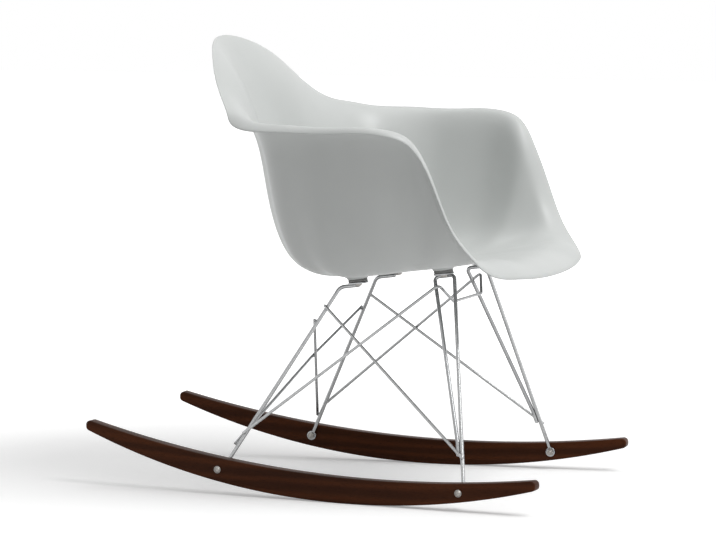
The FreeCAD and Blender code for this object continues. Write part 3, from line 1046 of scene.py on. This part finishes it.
@dataclass
class Shell:
    """The moulded seat shell, with its rolled arms and its four bosses.

    Attributes:
        stations: Columns of the cage around the shell.
        flat_rings: Rings of the cage on the flat, as shares of its radius.
        front_section, side_section, corner_section, wing_section, back_section:
            Shares of the way and of the rise from the flat to the rim.
        crown_section: Shares of the crown behind the corners of the lip.
        turns: Angles round the seat, from the front, between which each
            section gives way to the next one.
        crown_grows, crown_fades: Angles between which the crown does so.
    """

    seat: SeatPlane
    wall: float = 5.0
    width: float = 624.0
    front: float = -350.0
    back: float = 238.0
    lip_height: float = 358.0
    lip_width: float = 476.0
    lip_crown: float = 15.0
    corner_run: float = 59.0
    arm_height: float = 598.0
    arm_front: float = -168.0
    arm_run: float = 99.0
    arm_lean: float = 40.0
    arm_rear: float = 62.0
    back_height: float = 741.0
    back_width: float = 380.0
    flat_width: float = 140.0
    flat_depth: float = 130.0
    boss: float = 34.0
    cove: float = 3.9
    boss_bevel: float = 0.8
    insert: float = 9.5
    stations: int = 56
    smoothness: int = 3
    flat_rings: tuple[float, ...] = (0.7, 0.4, 0.15)
    front_section: Section = (
        (0.0, 0.0), (0.24, 0.0), (0.48, 0.0), (0.66, 0.04), (0.8, 0.18), (0.9, 0.42), (0.97, 0.76))
    side_section: Section = (
        (0.0, 0.0), (0.3, 0.0), (0.64, 0.02), (0.78, 0.3), (0.845, 0.7), (0.875, 0.99),
        (0.95, 1.055))
    corner_section: Section = (
        (0.0, 0.0), (0.2, 0.004), (0.45, 0.06), (0.6, 0.25), (0.68, 0.53), (0.745, 0.89),
        (0.89, 1.065))
    wing_section: Section = (
        (0.0, 0.0), (0.17, 0.004), (0.43, 0.055), (0.57, 0.225), (0.638, 0.455), (0.69, 0.68),
        (0.815, 0.875))
    back_section: Section = (
        (0.0, 0.0), (0.15, 0.005), (0.36, 0.045), (0.5, 0.19), (0.595, 0.43), (0.735, 0.69),
        (0.9, 0.895))
    crown_section: tuple[float, ...] = (0.0, 0.0, 0.12, 0.5, 1.0, 1.0, 0.55)
    turns: tuple[Pair, ...] = ((25, 62), (92, 116), (122, 148), (156, 180))
    crown_grows: Pair = (20, 42)
    crown_fades: Pair = (50, 75)

    def half_rim(self) -> list[Vector]:
        """Points that the left half of the rim passes through, from the lip.

        Returns:
            The points, from the middle of the lip to the middle of the back.
        """
        arm, lip, back = self.width / 2, self.lip_width / 2, self.back_width / 2
        corner, lean, run = self.corner_run, self.arm_lean, self.arm_run
        begin, end = self.arm_front, self.arm_rear
        front_rise = self.arm_height - self.lip_height
        back_rise = self.back_height - self.arm_height
        # Across the chair, then shares of the lip corner's run and height.
        lip_rows = (
            (0, 0, 0), (0.46 * lip, 0.07, 0.05), (0.8 * lip, 0.29, 0.15), (lip, 0.61, 0.34))
        # Across and along the chair, then a share of the rise to the arm.
        arm_rows = (
            (lip + 0.3 * corner, self.front + corner, 0.19), (arm - lean, begin - run, 0.34),
            (arm - 0.78 * lean, begin - 0.77 * run, 0.565),
            (arm - 0.65 * lean, begin - 0.5 * run, 0.82),
            (arm - 0.38 * lean, begin - 0.29 * run, 0.94))
        # Share of the lean, along the chair, then a height over the arm.
        top_rows = (
            (0.08, begin, -0.05 * lean), (0, 0.55 * begin + 0.45 * end, 0),
            (0.01, 0.15 * begin + 0.85 * end, 0.013 * back_rise), (0.2, end, 0.012 * back_rise))
        # Across the chair, then shares of the run and the rise to the back.
        back_rows = (
            (arm - lean, 0.27, 0.066), (back + 0.86 * lean, 0.44, 0.215),
            (back - 0.02 * lean, 0.595, 0.42), (0.79 * back, 0.735, 0.67),
            (0.53 * back, 0.864, 0.87), (0.24 * back, 0.963, 0.975), (0, 0.985, 1))
        lip_height, arm_height, run = self.lip_height, self.arm_height, self.back - end
        return [Vector((x, self.front + y * corner, lip_height + z * corner))
                for x, y, z in lip_rows] + [
            Vector((x, y, lip_height + z * front_rise)) for x, y, z in arm_rows] + [
            Vector((arm - x * lean, y, arm_height + z)) for x, y, z in top_rows] + [
            Vector((x, end + y * run, arm_height + z * back_rise)) for x, y, z in back_rows]

    def rim(self) -> list[Vector]:
        """Evenly spaced points of the rim, from the front lip to the left."""
        half = self.half_rim()
        other = [on_side(p, Side.RIGHT) for p in half[-2:0:-1]]
        return evenly_spaced(closed_curve(half + other), self.stations)

    def section(self, rim: Vector) -> list[Vector]:
        """Points on the middle of the wall, from the flat towards the rim.

        Args:
            rim: Point of the rim that the section ends at.

        Returns:
            The points before the rim.
        """
        out = Vector((rim.x, rim.y - self.seat.centre, 0))
        theta = degrees(atan2(abs(out.x), -out.y))
        steps = [smooth(theta, *turn) for turn in self.turns]
        weights = [a - b for a, b in zip([1.0] + steps, steps + [0.0])]
        reach = sqrt((2 * out.x / self.flat_width) ** 2 + (2 * out.y / self.flat_depth) ** 2)
        start = Vector((out.x / reach, self.seat.centre + out.y / reach, 0))
        rise = rim.z - self.seat.level(rim.y) - self.wall / 2
        crown = (self.lip_crown * smooth(theta, *self.crown_grows)
                 * (1 - smooth(theta, *self.crown_fades)))
        points = []
        masters = zip(
            self.front_section, self.side_section, self.corner_section, self.wing_section,
            self.back_section)
        for pairs, swell in zip(masters, self.crown_section):
            share = sum(w * m[0] for w, m in zip(weights, pairs))
            height = sum(w * m[1] for w, m in zip(weights, pairs))
            p = start + (Vector((rim.x, rim.y, 0)) - start) * share
            p.z = self.seat.level(p.y) + self.wall / 2 + rise * height + crown * swell
            points.append(p)
        return points

    def rows(self) -> list[list[Vector]]:
        """Rows of poles around the shell: inner skin, rim edge, outer skin.

        Returns:
            The rows in that order.
        """
        columns = [self.section(rim) + [rim] for rim in self.rim()]
        count, last = len(columns), len(columns[0]) - 1
        inner, outer = [], []
        for k in range(last + 1):
            over, under = [], []
            for i in range(count):
                along = columns[(i + 1) % count][k] - columns[i - 1][k]
                out = columns[i][min(k + 1, last)] - columns[i][max(k - 1, 0)]
                normal = self.seat.up if k < 2 else unit(along.cross(out) * -1)
                point = columns[i][k]
                if k == last:
                    point = point - unit(out) * (self.wall / 2)
                over.append(point + normal * (self.wall / 2))
                under.append(point - normal * (self.wall / 2))
            inner.append(over)
            outer.append(under)
        edge = [c[last] + unit(c[last] - c[last - 1]) * (self.wall / 3) for c in columns]
        return [closed_poles(row) for row in inner + [edge] + outer[::-1]]

    def cage(self) -> Mesh:
        """Control cage of the moulding, closed over the flat of the seat.

        Returns:
            The mesh, in metres.
        """
        rows = self.rows()
        count = self.stations
        for end in (0, -1):
            flat = rows[end]
            middle = sum(flat, ORIGIN) / count
            for share in self.flat_rings:
                place = len(rows) if end else 0
                rows.insert(place, [middle.lerp(p, share) for p in flat])
        points = [p for row in rows for p in row]
        faces = band_faces(len(rows), count)
        for row in (0, len(rows) - 1):
            points.append(sum(rows[row], ORIGIN) / count)
            first, middle_index = row * count, len(points) - 1
            faces += [(first + i, first + (i + 1) % count, middle_index) for i in range(count)]
        return make_mesh("shell_cage", points, faces)

    def boss_pattern(self) -> Mesh:
        """One boss that grows out of the underside with a small cove.

        Returns:
            The mesh, in metres.
        """
        radius, drop = self.boss / 2, self.seat.boss_height
        cove, bevel = self.cove, self.boss_bevel
        sunk = -self.wall * 0.6
        rows = round_rows((0.0, sunk), (radius + cove, sunk))
        rows += round_rows(*((radius + cove * (1 - sin(t)), cove * (1 - cos(t))) for t in QUARTER))
        rows += round_rows(
            (radius, drop - bevel), (radius - 0.25, drop - 0.25), (radius - bevel, drop),
            (0.0, drop))
        return turned("boss", rows, 64)

    def bore_pattern(self) -> Mesh:
        """Hole for one insert, from below the boss up."""
        radius, deep, past = self.insert / 2, self.seat.insert_length, 1.0
        return turned(
            "bore", round_rows((0.0, -deep), (radius, -deep), (radius, past), (0.0, past)))

    def build(self, shop: Workshop) -> None:
        """Makes the shell in place of its node, and dresses its inserts.

        Args:
            shop: Where wires and copies are made.
        """
        seat = self.seat
        piece = add_object("moulded_shell", self.cage())
        smoothing = piece.modifiers.new("smooth", "SUBSURF")
        smoothing.levels = smoothing.render_levels = self.smoothness
        combine(piece, {
            "UNION": shop.set_out("bosses", "shell", self.boss_pattern(), seat.mounts()),
            "DIFFERENCE": shop.set_out(
                "bores", "shell", self.bore_pattern(), seat.mounts(seat.boss_height))})
        finish_piece(piece, ["seat_shell"], shop.finishes["shell"])
        dress(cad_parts["shell_inserts"], shop.finishes["insert"])
        log.info("shell_inserts: dressed")


@dataclass
class MountStack:
    """Rubber pads, steel plates and screws under the four bosses."""

    seat: SeatPlane
    pad_diameter: float = 32.0
    plate_diameter: float = 34.0
    screw: float = 6.0
    clearance: float = 0.4
    head: float = 11.0
    head_height: float = 4.0
    head_round: float = 1.9
    recess: float = 2.2

    def build(self, shop: Workshop) -> None:
        """Makes pads, plates and screws in place of their nodes.

        Args:
            shop: Where wires and copies are made.
        """
        seat = self.seat
        hole = self.screw / 2 + self.clearance
        pad, plate = self.pad_diameter / 2, self.plate_diameter / 2
        places = ("rear_right", "rear_left", "front_right", "front_left")
        pad_rows = ring_rows([
            (hole, 0, 0.3), (pad - 0.5, 0, 0.9), (pad, seat.pad / 2, 1.2),
            (pad - 0.5, seat.pad, 0.9), (hole, seat.pad, 0.3)])
        plate_rows = ring_rows([
            (hole, 0, 0.25), (plate, 0, 0.7), (plate, seat.plate, 0.7), (hole, seat.plate, 0.25)])
        shop.set_out(
            "shock_pads", "rubber", turned("pad", pad_rows, 64), seat.mounts(seat.boss_height),
            ["mount_pad_" + place for place in places])
        shop.set_out(
            "mount_plates", "wire", turned("plate", plate_rows, 64),
            seat.mounts(seat.boss_height + seat.pad), ["mount_plate_" + place for place in places])
        shop.set_out(
            "pan_head_screws", "fastener", self.screw_pattern(), seat.mounts(seat.stack),
            ["shell_screws"], Scatter(turn=pi / 2, seed=7))

    def screw_pattern(self) -> Mesh:
        """Pan-head screw with a cross recess, its head along +Z.

        Returns:
            The mesh, in metres.
        """
        r, h, thread, curve = self.head / 2, self.head_height, self.screw / 2, self.head_round
        shank = self.seat.plate + self.seat.pad + self.seat.insert_length - 1
        rows: list[Row] = [
            (0.0, h - self.recess, Outline.ROUND), (1.5, h - self.recess + 0.1, Outline.CROSS),
            (2.6, h - 0.12, Outline.CROSS), (2.9, h, Outline.ROUND)]
        rows += round_rows(
            *((r - curve + curve * sin(t), h - curve + curve * cos(t)) for t in QUARTER))
        rows += round_rows(
            (r, 0.3), (r - 0.3, 0.0), (thread, 0.0), (thread, 1.0 - shank), (thread - 1, -shank),
            (0.0, -shank))
        return turned("screw", rows, 72)


@dataclass
class Rockers:
    """The two crescent boards.

    Attributes:
        radius, top_radius: Of the lower and the upper edge.
        low, top_low: Where along the chair these edges are lowest.
        steps: Straight pieces of each long edge.
    """

    length: float = 800.0
    thickness: float = 22.0
    depth: float = 41.0
    radius: float = 1263.0
    top_radius: float = 2082.0
    low: float = -77.0
    top_low: float = -133.0
    tip: float = 7.0
    edge: float = 2.5
    toe: float = 4.0
    track: float = 447.2
    front_bolt: float = -269.0
    rear_bolt: float = 156.0
    bore: float = 6.5
    steps: int = 120

    @property
    def across(self) -> Vector:
        """Way out of the left rocker, square to its face."""
        return Vector((cos(radians(self.toe)), sin(radians(self.toe)), 0))

    def edges(self, y: float) -> Pair:
        """Heights of the lower and upper edge at y.

        Args:
            y: Place along the chair.

        Returns:
            The two heights.
        """
        low = self.radius - sqrt(self.radius ** 2 - (y - self.low) ** 2)
        rise = self.top_radius - sqrt(self.top_radius ** 2 - (y - self.top_low) ** 2)
        return low, self.depth + rise

    def bolt_centre(self, y: float) -> Vector:
        """Where a bolt of the left rocker crosses the middle of the board."""
        return Vector((self.track / 2 - y * tan(radians(self.toe)), y, sum(self.edges(y)) / 2))

    def outline(self) -> list[Vector]:
        """Corners of the board seen from the side, with rounded tips.

        Returns:
            The corners in order.
        """
        ends = (0, self.steps)
        crowded = (1, self.steps - 1)
        corners: list[Triple] = []
        for edge, order in enumerate((range(self.steps + 1), range(self.steps, -1, -1))):
            for k in order:
                y = -self.length / 2 + self.length * k / self.steps
                if k not in crowded:
                    corners.append((y, self.edges(y)[edge], self.tip if k in ends else 0.0))
        return [Vector((0, y, z)) for y, z in round_corners(corners, 8)]

    def board(self, name: str) -> Mesh:
        """The left board with rounded long edges.

        Args:
            name: Name of the mesh.

        Returns:
            The mesh, in metres.
        """
        outline = self.outline()
        count = len(outline)
        runs = [outline[(i + 1) % count] - outline[i - 1] for i in range(count)]
        inward = [unit(Vector((0, -run.z, run.y))) for run in runs]
        rings = []
        for sign in (-1, 1):
            for k in range(6)[::-sign]:
                turn = pi / 2 * k / 5
                inset = self.edge * (1 - sin(turn))
                out = sign * (self.thickness / 2 - self.edge * (1 - cos(turn)))
                rings.append([
                    p + n * inset + Vector((out, 0, 0)) for p, n in zip(outline, inward)])
        spin = Matrix.Rotation(radians(self.toe), 3, "Z")
        shift = Vector((self.track / 2, 0, 0))
        points = [spin @ p + shift for ring in rings for p in ring]
        faces = band_faces(len(rings), count)
        for first in (0, (len(rings) - 1) * count):
            faces.append(list(range(first, first + count)))
        return make_mesh(name, points, faces)

    def build(self, shop: Workshop) -> None:
        """Makes both boards, bored for their bolts.

        Args:
            shop: Where wires and copies are made.
        """
        bore, reach = self.bore / 2, self.thickness
        rows = round_rows((0.0, -reach), (bore, -reach), (bore, reach), (0.0, reach))
        for side in Side:
            name = "rocker_" + side.word
            piece = add_object("crescent_" + name, self.board(name))
            if side is Side.RIGHT:
                piece.data.transform(Matrix.Scale(-1, 4, X_AXIS))
                piece.data.flip_normals()
            seats = [(on_side(self.bolt_centre(y), side), on_side(self.across, side))
                     for y in (self.front_bolt, self.rear_bolt)]
            combine(piece, {
                "DIFFERENCE": shop.set_out("drills", "fastener", turned("drill", rows, 40), seats)})
            finish_piece(piece, [name], shop.finishes[name])


@dataclass
class Feet:
    """Lugs, bolts, washers and nuts that hold the legs to the rockers."""

    rockers: Rockers
    lug: float = 16.0
    lug_thickness: float = 6.0
    bolt: float = 6.0
    clearance: float = 0.25
    head: float = 10.5
    head_height: float = 3.3
    washer: float = 12.0
    washer_thickness: float = 1.2
    nut_across: float = 10.0
    nut_height: float = 5.0
    nut_bevel: float = 0.55
    bolt_end: float = 2.0
    socket: float = 4.0
    pitch: float = 1.0

    def seats(self, outwards: float) -> list[Seat]:
        """The four feet, from the rear left to the front right.

        Args:
            outwards: How far out of the middle of the boards they are.

        Returns:
            The place of each, with the way out.
        """
        found = []
        for side in Side:
            for y in (self.rockers.rear_bolt, self.rockers.front_bolt):
                spot = self.rockers.bolt_centre(y) + self.rockers.across * outwards
                found.append((on_side(spot, side), on_side(self.rockers.across, side)))
        return found

    def bolt_pattern(self) -> Mesh:
        """Dome-head bolt with a hexagon socket, its head along +Z.

        Returns:
            The mesh, in metres.
        """
        r, h, thread, half = self.head / 2, self.head_height, self.bolt / 2, self.socket / 2
        ball = (r * r + h * h) / (2 * h)
        grip = (self.washer_thickness + self.rockers.thickness + self.lug_thickness
                + self.nut_height)
        end, mouth = grip + self.bolt_end, half * 1.2
        rim = ball - sqrt(ball * ball - mouth ** 2)
        rows: list[Row] = [
            (0.0, h - 2.3, Outline.ROUND), (half, h - 1.9, Outline.HEXAGON),
            (half, h - rim - 0.15, Outline.HEXAGON), (mouth, h - rim, Outline.ROUND)]
        dome = [mouth + (r - mouth) * k / 8 for k in range(1, 9)]
        rows += round_rows(*((out, h - ball + sqrt(ball * ball - out * out)) for out in dome))
        depth = grip - self.nut_height - 1
        rows += round_rows((r - 0.2, 0.0), (thread, 0.0), (thread, -depth))
        while depth + self.pitch < end - 0.6:
            rows += round_rows(
                (thread - 0.5, -depth - self.pitch * 0.35), (thread, -depth - self.pitch * 0.85),
                (thread, -depth - self.pitch))
            depth += self.pitch
        rows += round_rows((thread - 0.6, -end + 0.2), (thread - 0.9, -end), (0.0, -end))
        return turned("bolt", rows)

    def nut_pattern(self) -> Mesh:
        """Hexagon nut with chamfered corners, standing on -Z.

        Returns:
            The mesh, in metres.
        """
        flat, h, bore, bevel = self.nut_across / 2, self.nut_height, self.bolt / 2, self.nut_bevel
        rows = round_rows((bore, -0.3), (bore + 0.3, 0.0), (flat * 0.94, 0.0))
        rows += [(flat, -bevel, Outline.HEXAGON), (flat, bevel - h, Outline.HEXAGON)]
        rows += round_rows((flat * 0.94, -h), (bore + 0.3, -h), (bore, 0.3 - h))
        return turned("nut", rows)

    def build(self, shop: Workshop) -> None:
        """Makes lugs, bolts, washers and nuts in place of their nodes.

        Args:
            shop: Where wires and copies are made.
        """
        face = self.rockers.thickness / 2
        hole, lug, washer = self.bolt / 2 + self.clearance, self.lug / 2, self.washer / 2
        lug_rows = ring_rows([
            (hole, 0, 0.3), (lug, 0, 0.9), (lug, -self.lug_thickness, 0.9),
            (hole, -self.lug_thickness, 0.3)])
        washer_rows = ring_rows([
            (hole, 0, 0.12), (washer, 0, 0.3), (washer, self.washer_thickness, 0.3),
            (hole, self.washer_thickness, 0.12)], 3)
        shop.set_out("foot_lugs", "wire", turned("lug", lug_rows), self.seats(-face), [
            f"foot_lug_{end}_{side.word}" for end in ("front", "rear") for side in Side])
        shop.set_out(
            "rocker_bolt_washers", "fastener", turned("washer", washer_rows), self.seats(face),
            ["rocker_washers"])
        shop.set_out(
            "dome_head_bolts", "fastener", self.bolt_pattern(),
            self.seats(face + self.washer_thickness), ["rocker_bolts"],
            Scatter(turn=pi / 3, seed=11))
        shop.set_out(
            "hexagon_nuts", "fastener", self.nut_pattern(),
            self.seats(-face - self.lug_thickness), ["rocker_nuts"], Scatter(turn=pi / 3, seed=5))


@dataclass
class Cradle:
    """The welded wire cradle between the seat and the rockers.

    Attributes:
        gap: Clearance between wires that touch.
        hairpin_joint to crossing, cross_low, cross_high: Heights over the
            floor at which wires meet.
        stretcher_drop, tie_drop: Drops below the plates.
        brace_end: How far a brace runs on past its weld.
        welds: Place and direction of each weld, noted as the wires are laid.
        front_foot to rear_end: Corners of the left legs, from below.
    """

    seat: SeatPlane
    rockers: Rockers
    feet: Feet
    leg_wire: float = 6.4
    brace_wire: float = 4.8
    gap: float = 0.15
    hairpin_span: float = 34.0
    hairpin_inset: float = 16.0
    hairpin_shift: float = 5.0
    rear_inset: float = 10.0
    rear_run: float = 34.0
    rear_corner: float = 36.0
    hairpin_joint: float = 104.0
    hairpin_end: float = 84.0
    falling_low: float = 80.0
    falling_high: float = 300.0
    stretcher_joint: float = 97.0
    crossing: float = 244.0
    stretcher_drop: float = 16.0
    tie_drop: float = 46.0
    tie_width: float = 140.0
    cross_low: float = 79.0
    cross_high: float = 276.0
    brace_end: float = 3.5
    leg_bend: float = 15.0
    hairpin_bend: float = 7.0
    tie_bend: float = 8.0
    bow_bend: float = 400.0
    bead: float = 2.2
    bead_reach: float = 4.2
    welds: list[Seat] = field(default_factory=list)
    front_foot: Vector = field(init=False)
    front_top: Vector = field(init=False)
    front_back: Vector = field(init=False)
    rear_foot: Vector = field(init=False)
    rear_top: Vector = field(init=False)
    rear_end: Vector = field(init=False)

    def __post_init__(self) -> None:
        """Works out the ends of the legs of the left half."""
        seat, wire = self.seat, self.leg_wire
        bridge = seat.front + self.hairpin_shift
        x = seat.spread / 2 - self.hairpin_inset
        self.front_top = seat.under_plate(x, bridge - self.hairpin_span / 2, wire)
        self.front_back = seat.under_plate(x, bridge + self.hairpin_span / 2, wire)
        self.front_foot = self.foot_point(self.rockers.front_bolt, self.front_top)
        x = seat.spread / 2 - self.rear_inset
        corner = seat.rear + self.rear_corner
        self.rear_top = seat.under_plate(x, corner, wire)
        self.rear_end = seat.under_plate(x, corner - self.rear_run, wire)
        self.rear_foot = self.foot_point(self.rockers.rear_bolt, self.rear_top)

    def on_front(self, z: float) -> Seat:
        """Point of the left front leg's outer run at a height, with its way."""
        foot, top = self.front_foot, self.front_top
        return at_height(foot, top, z), top - foot

    def on_rear(self, z: float) -> Seat:
        """Point of the left rear leg at a height, with the leg's way."""
        foot, top = self.rear_foot, self.rear_top
        return at_height(foot, top, z), top - foot

    def foot_point(self, y: float, top: Vector) -> Vector:
        """Lower end of a leg: in its lug, towards the top of the leg.

        Args:
            y: Where its bolt is along the chair.
            top: Upper end of the leg.

        Returns:
            The lower end.
        """
        inwards = self.rockers.thickness / 2 + self.leg_wire / 2 + self.gap
        middle = self.rockers.bolt_centre(y) - self.rockers.across * inwards
        lean = Vector((0, top.y - middle.y, top.z - middle.z))
        return middle + unit(lean) * (self.feet.lug / 2 - 2)

    def lap(self, spot: Seat, run: Vector, side: Vector) -> Vector:
        """Lays a brace against a leg and notes the weld.

        Args:
            spot: Point of the leg's middle, with the leg's way.
            run: Direction of the brace.
            side: Side of the leg that the brace lies on.

        Returns:
            Middle of the brace there.
        """
        point, leg = spot
        normal = towards(unit(run.cross(leg)), side)
        self.welds.append((point + normal * (self.leg_wire / 2 + self.gap / 2), unit(leg)))
        return point + normal * ((self.leg_wire + self.brace_wire) / 2 + self.gap)

    def lapped(self, low: Seat, high: Seat, side: Vector) -> tuple[Vector, Vector]:
        """Ends of a straight brace that lies against the two legs it joins.

        Args:
            low: Where its lower end meets a leg, with that leg's way.
            high: The same for its upper end.
            side: Side of the legs that it lies on.

        Returns:
            The lower and the upper end.
        """
        run = unit(high[0] - low[0])
        start = self.lap(low, run, side) - run * self.brace_end
        end = self.lap(high, run, side) + run * self.brace_end
        return start, end

    def hairpin(self) -> list[Vector]:
        """Path of a front leg: up, over the bridge and down beside itself.

        Returns:
            The corners of the path.
        """
        along = unit(self.front_top - self.front_foot)
        back = self.front_back - self.front_top
        beside = unit(back - along * back.dot(along)) * (self.leg_wire + self.gap)
        joint, end = (
            self.on_front(z)[0] + beside for z in (self.hairpin_joint, self.hairpin_end))
        return [self.front_foot, self.front_top, self.front_back, joint, end]

    def paths(self) -> dict[str, list[Vector]]:
        """Paths of the left half by node, with the welds noted on the way.

        Returns:
            The corners of each path.
        """
        start, end = self.lapped(
            self.on_front(self.falling_low), self.on_rear(self.falling_high), X_AXIS)
        return {
            "front_leg": self.hairpin(),
            "rear_leg": [self.rear_foot, self.rear_top, self.rear_end],
            "falling_brace": [start, end],
            "stretcher": self.stretcher(start, end)}

    def stretcher(self, start: Vector, end: Vector) -> list[Vector]:
        """Path of the stretcher, which lies outside the side brace.

        Args:
            start: Lower end of the side brace.
            end: Its upper end.

        Returns:
            The path from the rear foot to the front tie's corner.
        """
        low = self.on_rear(self.stretcher_joint)
        crossing = at_height(start, end, self.crossing)
        outward = towards(unit((end - start).cross(crossing - low[0])), X_AXIS)
        beside = crossing + outward * (self.brace_wire + self.gap)
        self.welds.append((crossing + outward * (self.brace_wire / 2), unit(end - start)))
        run = unit(beside - low[0])
        foot = self.lap(low, run, X_AXIS) - run * self.brace_end
        plates = self.seat.level(self.seat.front) - self.seat.stack
        bend = at_height(foot, beside, plates - self.stretcher_drop)
        share = (bend.x - self.front_top.x) / (bend.x - self.tie_width / 2)
        passing = bend.z + (self.stretcher_drop - self.tie_drop) * share
        pin = self.hairpin()
        between = (self.on_front(passing)[0] + at_height(pin[3], pin[2], passing)) / 2
        corner = Vector((
            self.tie_width / 2, bend.y + (between.y - bend.y) / share, plates - self.tie_drop))
        return [foot, bend, corner]

    def bead_pattern(self) -> Mesh:
        """One weld bead, longest along Z.

        Returns:
            The mesh, in metres.
        """
        turns = [pi * k / 12 for k in range(1, 12)]
        rows = round_rows((0.0, -self.bead_reach))
        rows += round_rows(*((self.bead * sin(t), -self.bead_reach * cos(t)) for t in turns))
        rows += round_rows((0.0, self.bead_reach))
        return turned("bead", rows, 24)

    def build(self, shop: Workshop) -> None:
        """Makes the legs, braces, stretcher and weld beads.

        Args:
            shop: Where wires and copies are made.
        """
        bends = {"front_leg": self.hairpin_bend, "rear_leg": self.leg_bend}
        left = self.paths()
        half = left.pop("stretcher")
        for node, path in left.items():
            wire = self.leg_wire if node in bends else self.brace_wire
            for side in Side:
                name = f"{node}_{side.word}"
                laid = [on_side(p, side) for p in path]
                shop.lay_wire("wire_" + name, laid, wire, bends.get(node, self.tie_bend), [name])
        whole = half + [on_side(p, Side.RIGHT) for p in half[::-1]]
        shop.lay_wire("wire_stretcher", whole, self.brace_wire, self.tie_bend, [
            "stretcher_left", "front_tie", "stretcher_right"])
        self.welds += mirrored(self.welds)
        self.cross_braces(shop)
        shop.set_out(
            "weld_beads", "wire", self.bead_pattern(), self.welds, [],
            Scatter(turn=pi, size=0.85, seed=21))

    def cross_braces(self, shop: Workshop) -> None:
        """Makes the straight and the bowed brace between the rear legs.

        Args:
            shop: Where wires and copies are made.
        """
        high = mirrored([self.on_rear(self.cross_high)])[0]
        start, end = self.lapped(self.on_rear(self.cross_low), high, Y_AXIS)
        self.welds += mirrored(self.welds[-2:])
        other_start, other_end = on_side(start, Side.RIGHT), on_side(end, Side.RIGHT)
        run = other_end - other_start
        middle = other_start + run * (other_start.x / (other_start.x - other_end.x))
        behind = towards(unit(run.cross(on_side(run, Side.RIGHT))), Y_AXIS)
        self.welds.append((middle + behind * (self.brace_wire / 2), unit(run)))
        middle = middle + behind * (self.brace_wire + self.gap)
        for node, path in (("cross_brace_straight", [start, end]),
                           ("cross_brace_bowed", [other_start, middle, other_end])):
            shop.lay_wire("wire_" + node, path, self.brace_wire, self.bow_bend, [node])


# The studio

@dataclass
class Studio:
    """Floor, light and camera.

    Attributes:
        target: Point that the camera was fitted to, in metres.
        azimuth: Of the camera, in degrees.
        elevation: Of the camera, in degrees.
        distance: From the target, in metres.
        focal: Focal length in pixels of the photograph's frame.
        centre: Pixel of the photograph that the fit's axis goes through.
        picture: Width and height of the photograph.
        lamps: Name, place and size in metres and power in watts of each lamp.
        floor_reach: Half the side of the floor, in metres.
    """

    target: Vector = field(default_factory=lambda: Vector((0, -0.055, 0.3)))
    azimuth: float = -70.0
    elevation: float = 6.1
    distance: float = 6.1286
    focal: float = 3690.0
    centre: Pair = (386.4, 303.1)
    picture: tuple[int, int] = (716, 540)
    lamps: tuple[tuple[str, Triple, float, float], ...] = (
        ("key", (-0.5, -2.7, 4.1), 2.4, 131.0), ("fill", (2.6, -2.6, 2.6), 2.6, 12.0),
        ("top", (0.6, 0.4, 4.6), 3.0, 39.0))
    floor_reach: float = 14.0

    def camera(self) -> None:
        """Sets the camera at the photograph's viewing angle."""
        a, e = radians(self.azimuth), radians(self.elevation)
        back = Vector((sin(a) * cos(e), -cos(a) * cos(e), sin(e)))
        right = unit(Z_AXIS.cross(back))
        up = back.cross(right)
        width, height = self.picture
        aim = (right * ((width / 2 - self.centre[0]) / self.focal)
               - up * ((height / 2 - self.centre[1]) / self.focal) - back)
        lens = bpy.data.cameras.new("studio_camera")
        lens.lens = self.focal / width * lens.sensor_width
        camera = add_object("studio_camera", lens)
        camera.location = self.target + back * self.distance
        camera.rotation_euler = aim.to_track_quat("-Z", "Y").to_euler()
        bpy.context.scene.camera = camera

    def light(self) -> None:
        """Adds the soft square lamps that look at the chair."""
        for name, place, size, power in self.lamps:
            data = bpy.data.lights.new(name, "AREA")
            data.size = size
            data.energy = power
            lamp = add_object(name, data)
            lamp.location = place
            way = Vector((0, 0, 0.4)) - Vector(place)
            lamp.rotation_euler = way.to_track_quat("-Z", "Y").to_euler()

    def floor(self) -> None:
        """Lays a pale floor that shows white and keeps the shadow."""
        mesh = bpy.data.meshes.new("floor")
        far = self.floor_reach
        mesh.from_pydata(
            [(-far, -far, 0), (far, -far, 0), (far, far, 0), (-far, far, 0)], [], [(0, 1, 2, 3)])
        floor = add_object("floor", mesh)
        finish = Finish("pale_floor", (0.85, 0.85, 0.85), 0.9)
        material, g, shader, place = finish.start()
        away = g.node("ShaderNodeVectorMath", {0: place}, operation="LENGTH").outputs["Value"]
        lift = g.spread(away, 0.7, 2.2, 0.3, 1.0)
        g.fill(shader, {
            "Base Color": (*finish.colour, 1), "Roughness": finish.roughness,
            "Specular IOR Level": 0.1, "Emission Color": (1, 1, 1, 1),
            "Emission Strength": g.maths("MULTIPLY", g.shown_white(), lift)})
        mesh.materials.append(material)

    def sky(self) -> None:
        """Fills the world with soft light and shows it as white."""
        world = bpy.data.worlds.new("studio")
        world.use_nodes = True
        bpy.context.scene.world = world
        g = Graph(world.node_tree)
        way = g.node("ShaderNodeTexCoord").outputs["Generated"]
        rise = g.node("ShaderNodeSeparateXYZ", {0: way}).outputs["Z"]
        soft = g.spread(rise, 0.0, 0.9, 0.1, 0.42)
        g.fill(world.node_tree.nodes["Background"], {
            "Color": (1, 1, 1, 1), "Strength": g.spread(g.shown_white(), 0.0, 1.0, soft, 1.0)})

    def build(self) -> None:
        """Sets camera, lamps, floor and world."""
        bpy.context.scene.view_settings.view_transform = "Standard"
        self.camera()
        self.light()
        self.floor()
        self.sky()


def main() -> None:
    """Builds the studio and then the chair, from the shell down."""
    logging.basicConfig(level=logging.INFO, format="%(name)s: %(message)s")
    Studio().build()
    seat = SeatPlane()
    rockers = Rockers()
    feet = Feet(rockers)
    shop = Workshop(rockers.toe)
    for part in (Shell(seat), MountStack(seat), Cradle(seat, rockers, feet), rockers, feet):
        part.build(shop)


if __name__ == "__main__":
    main()
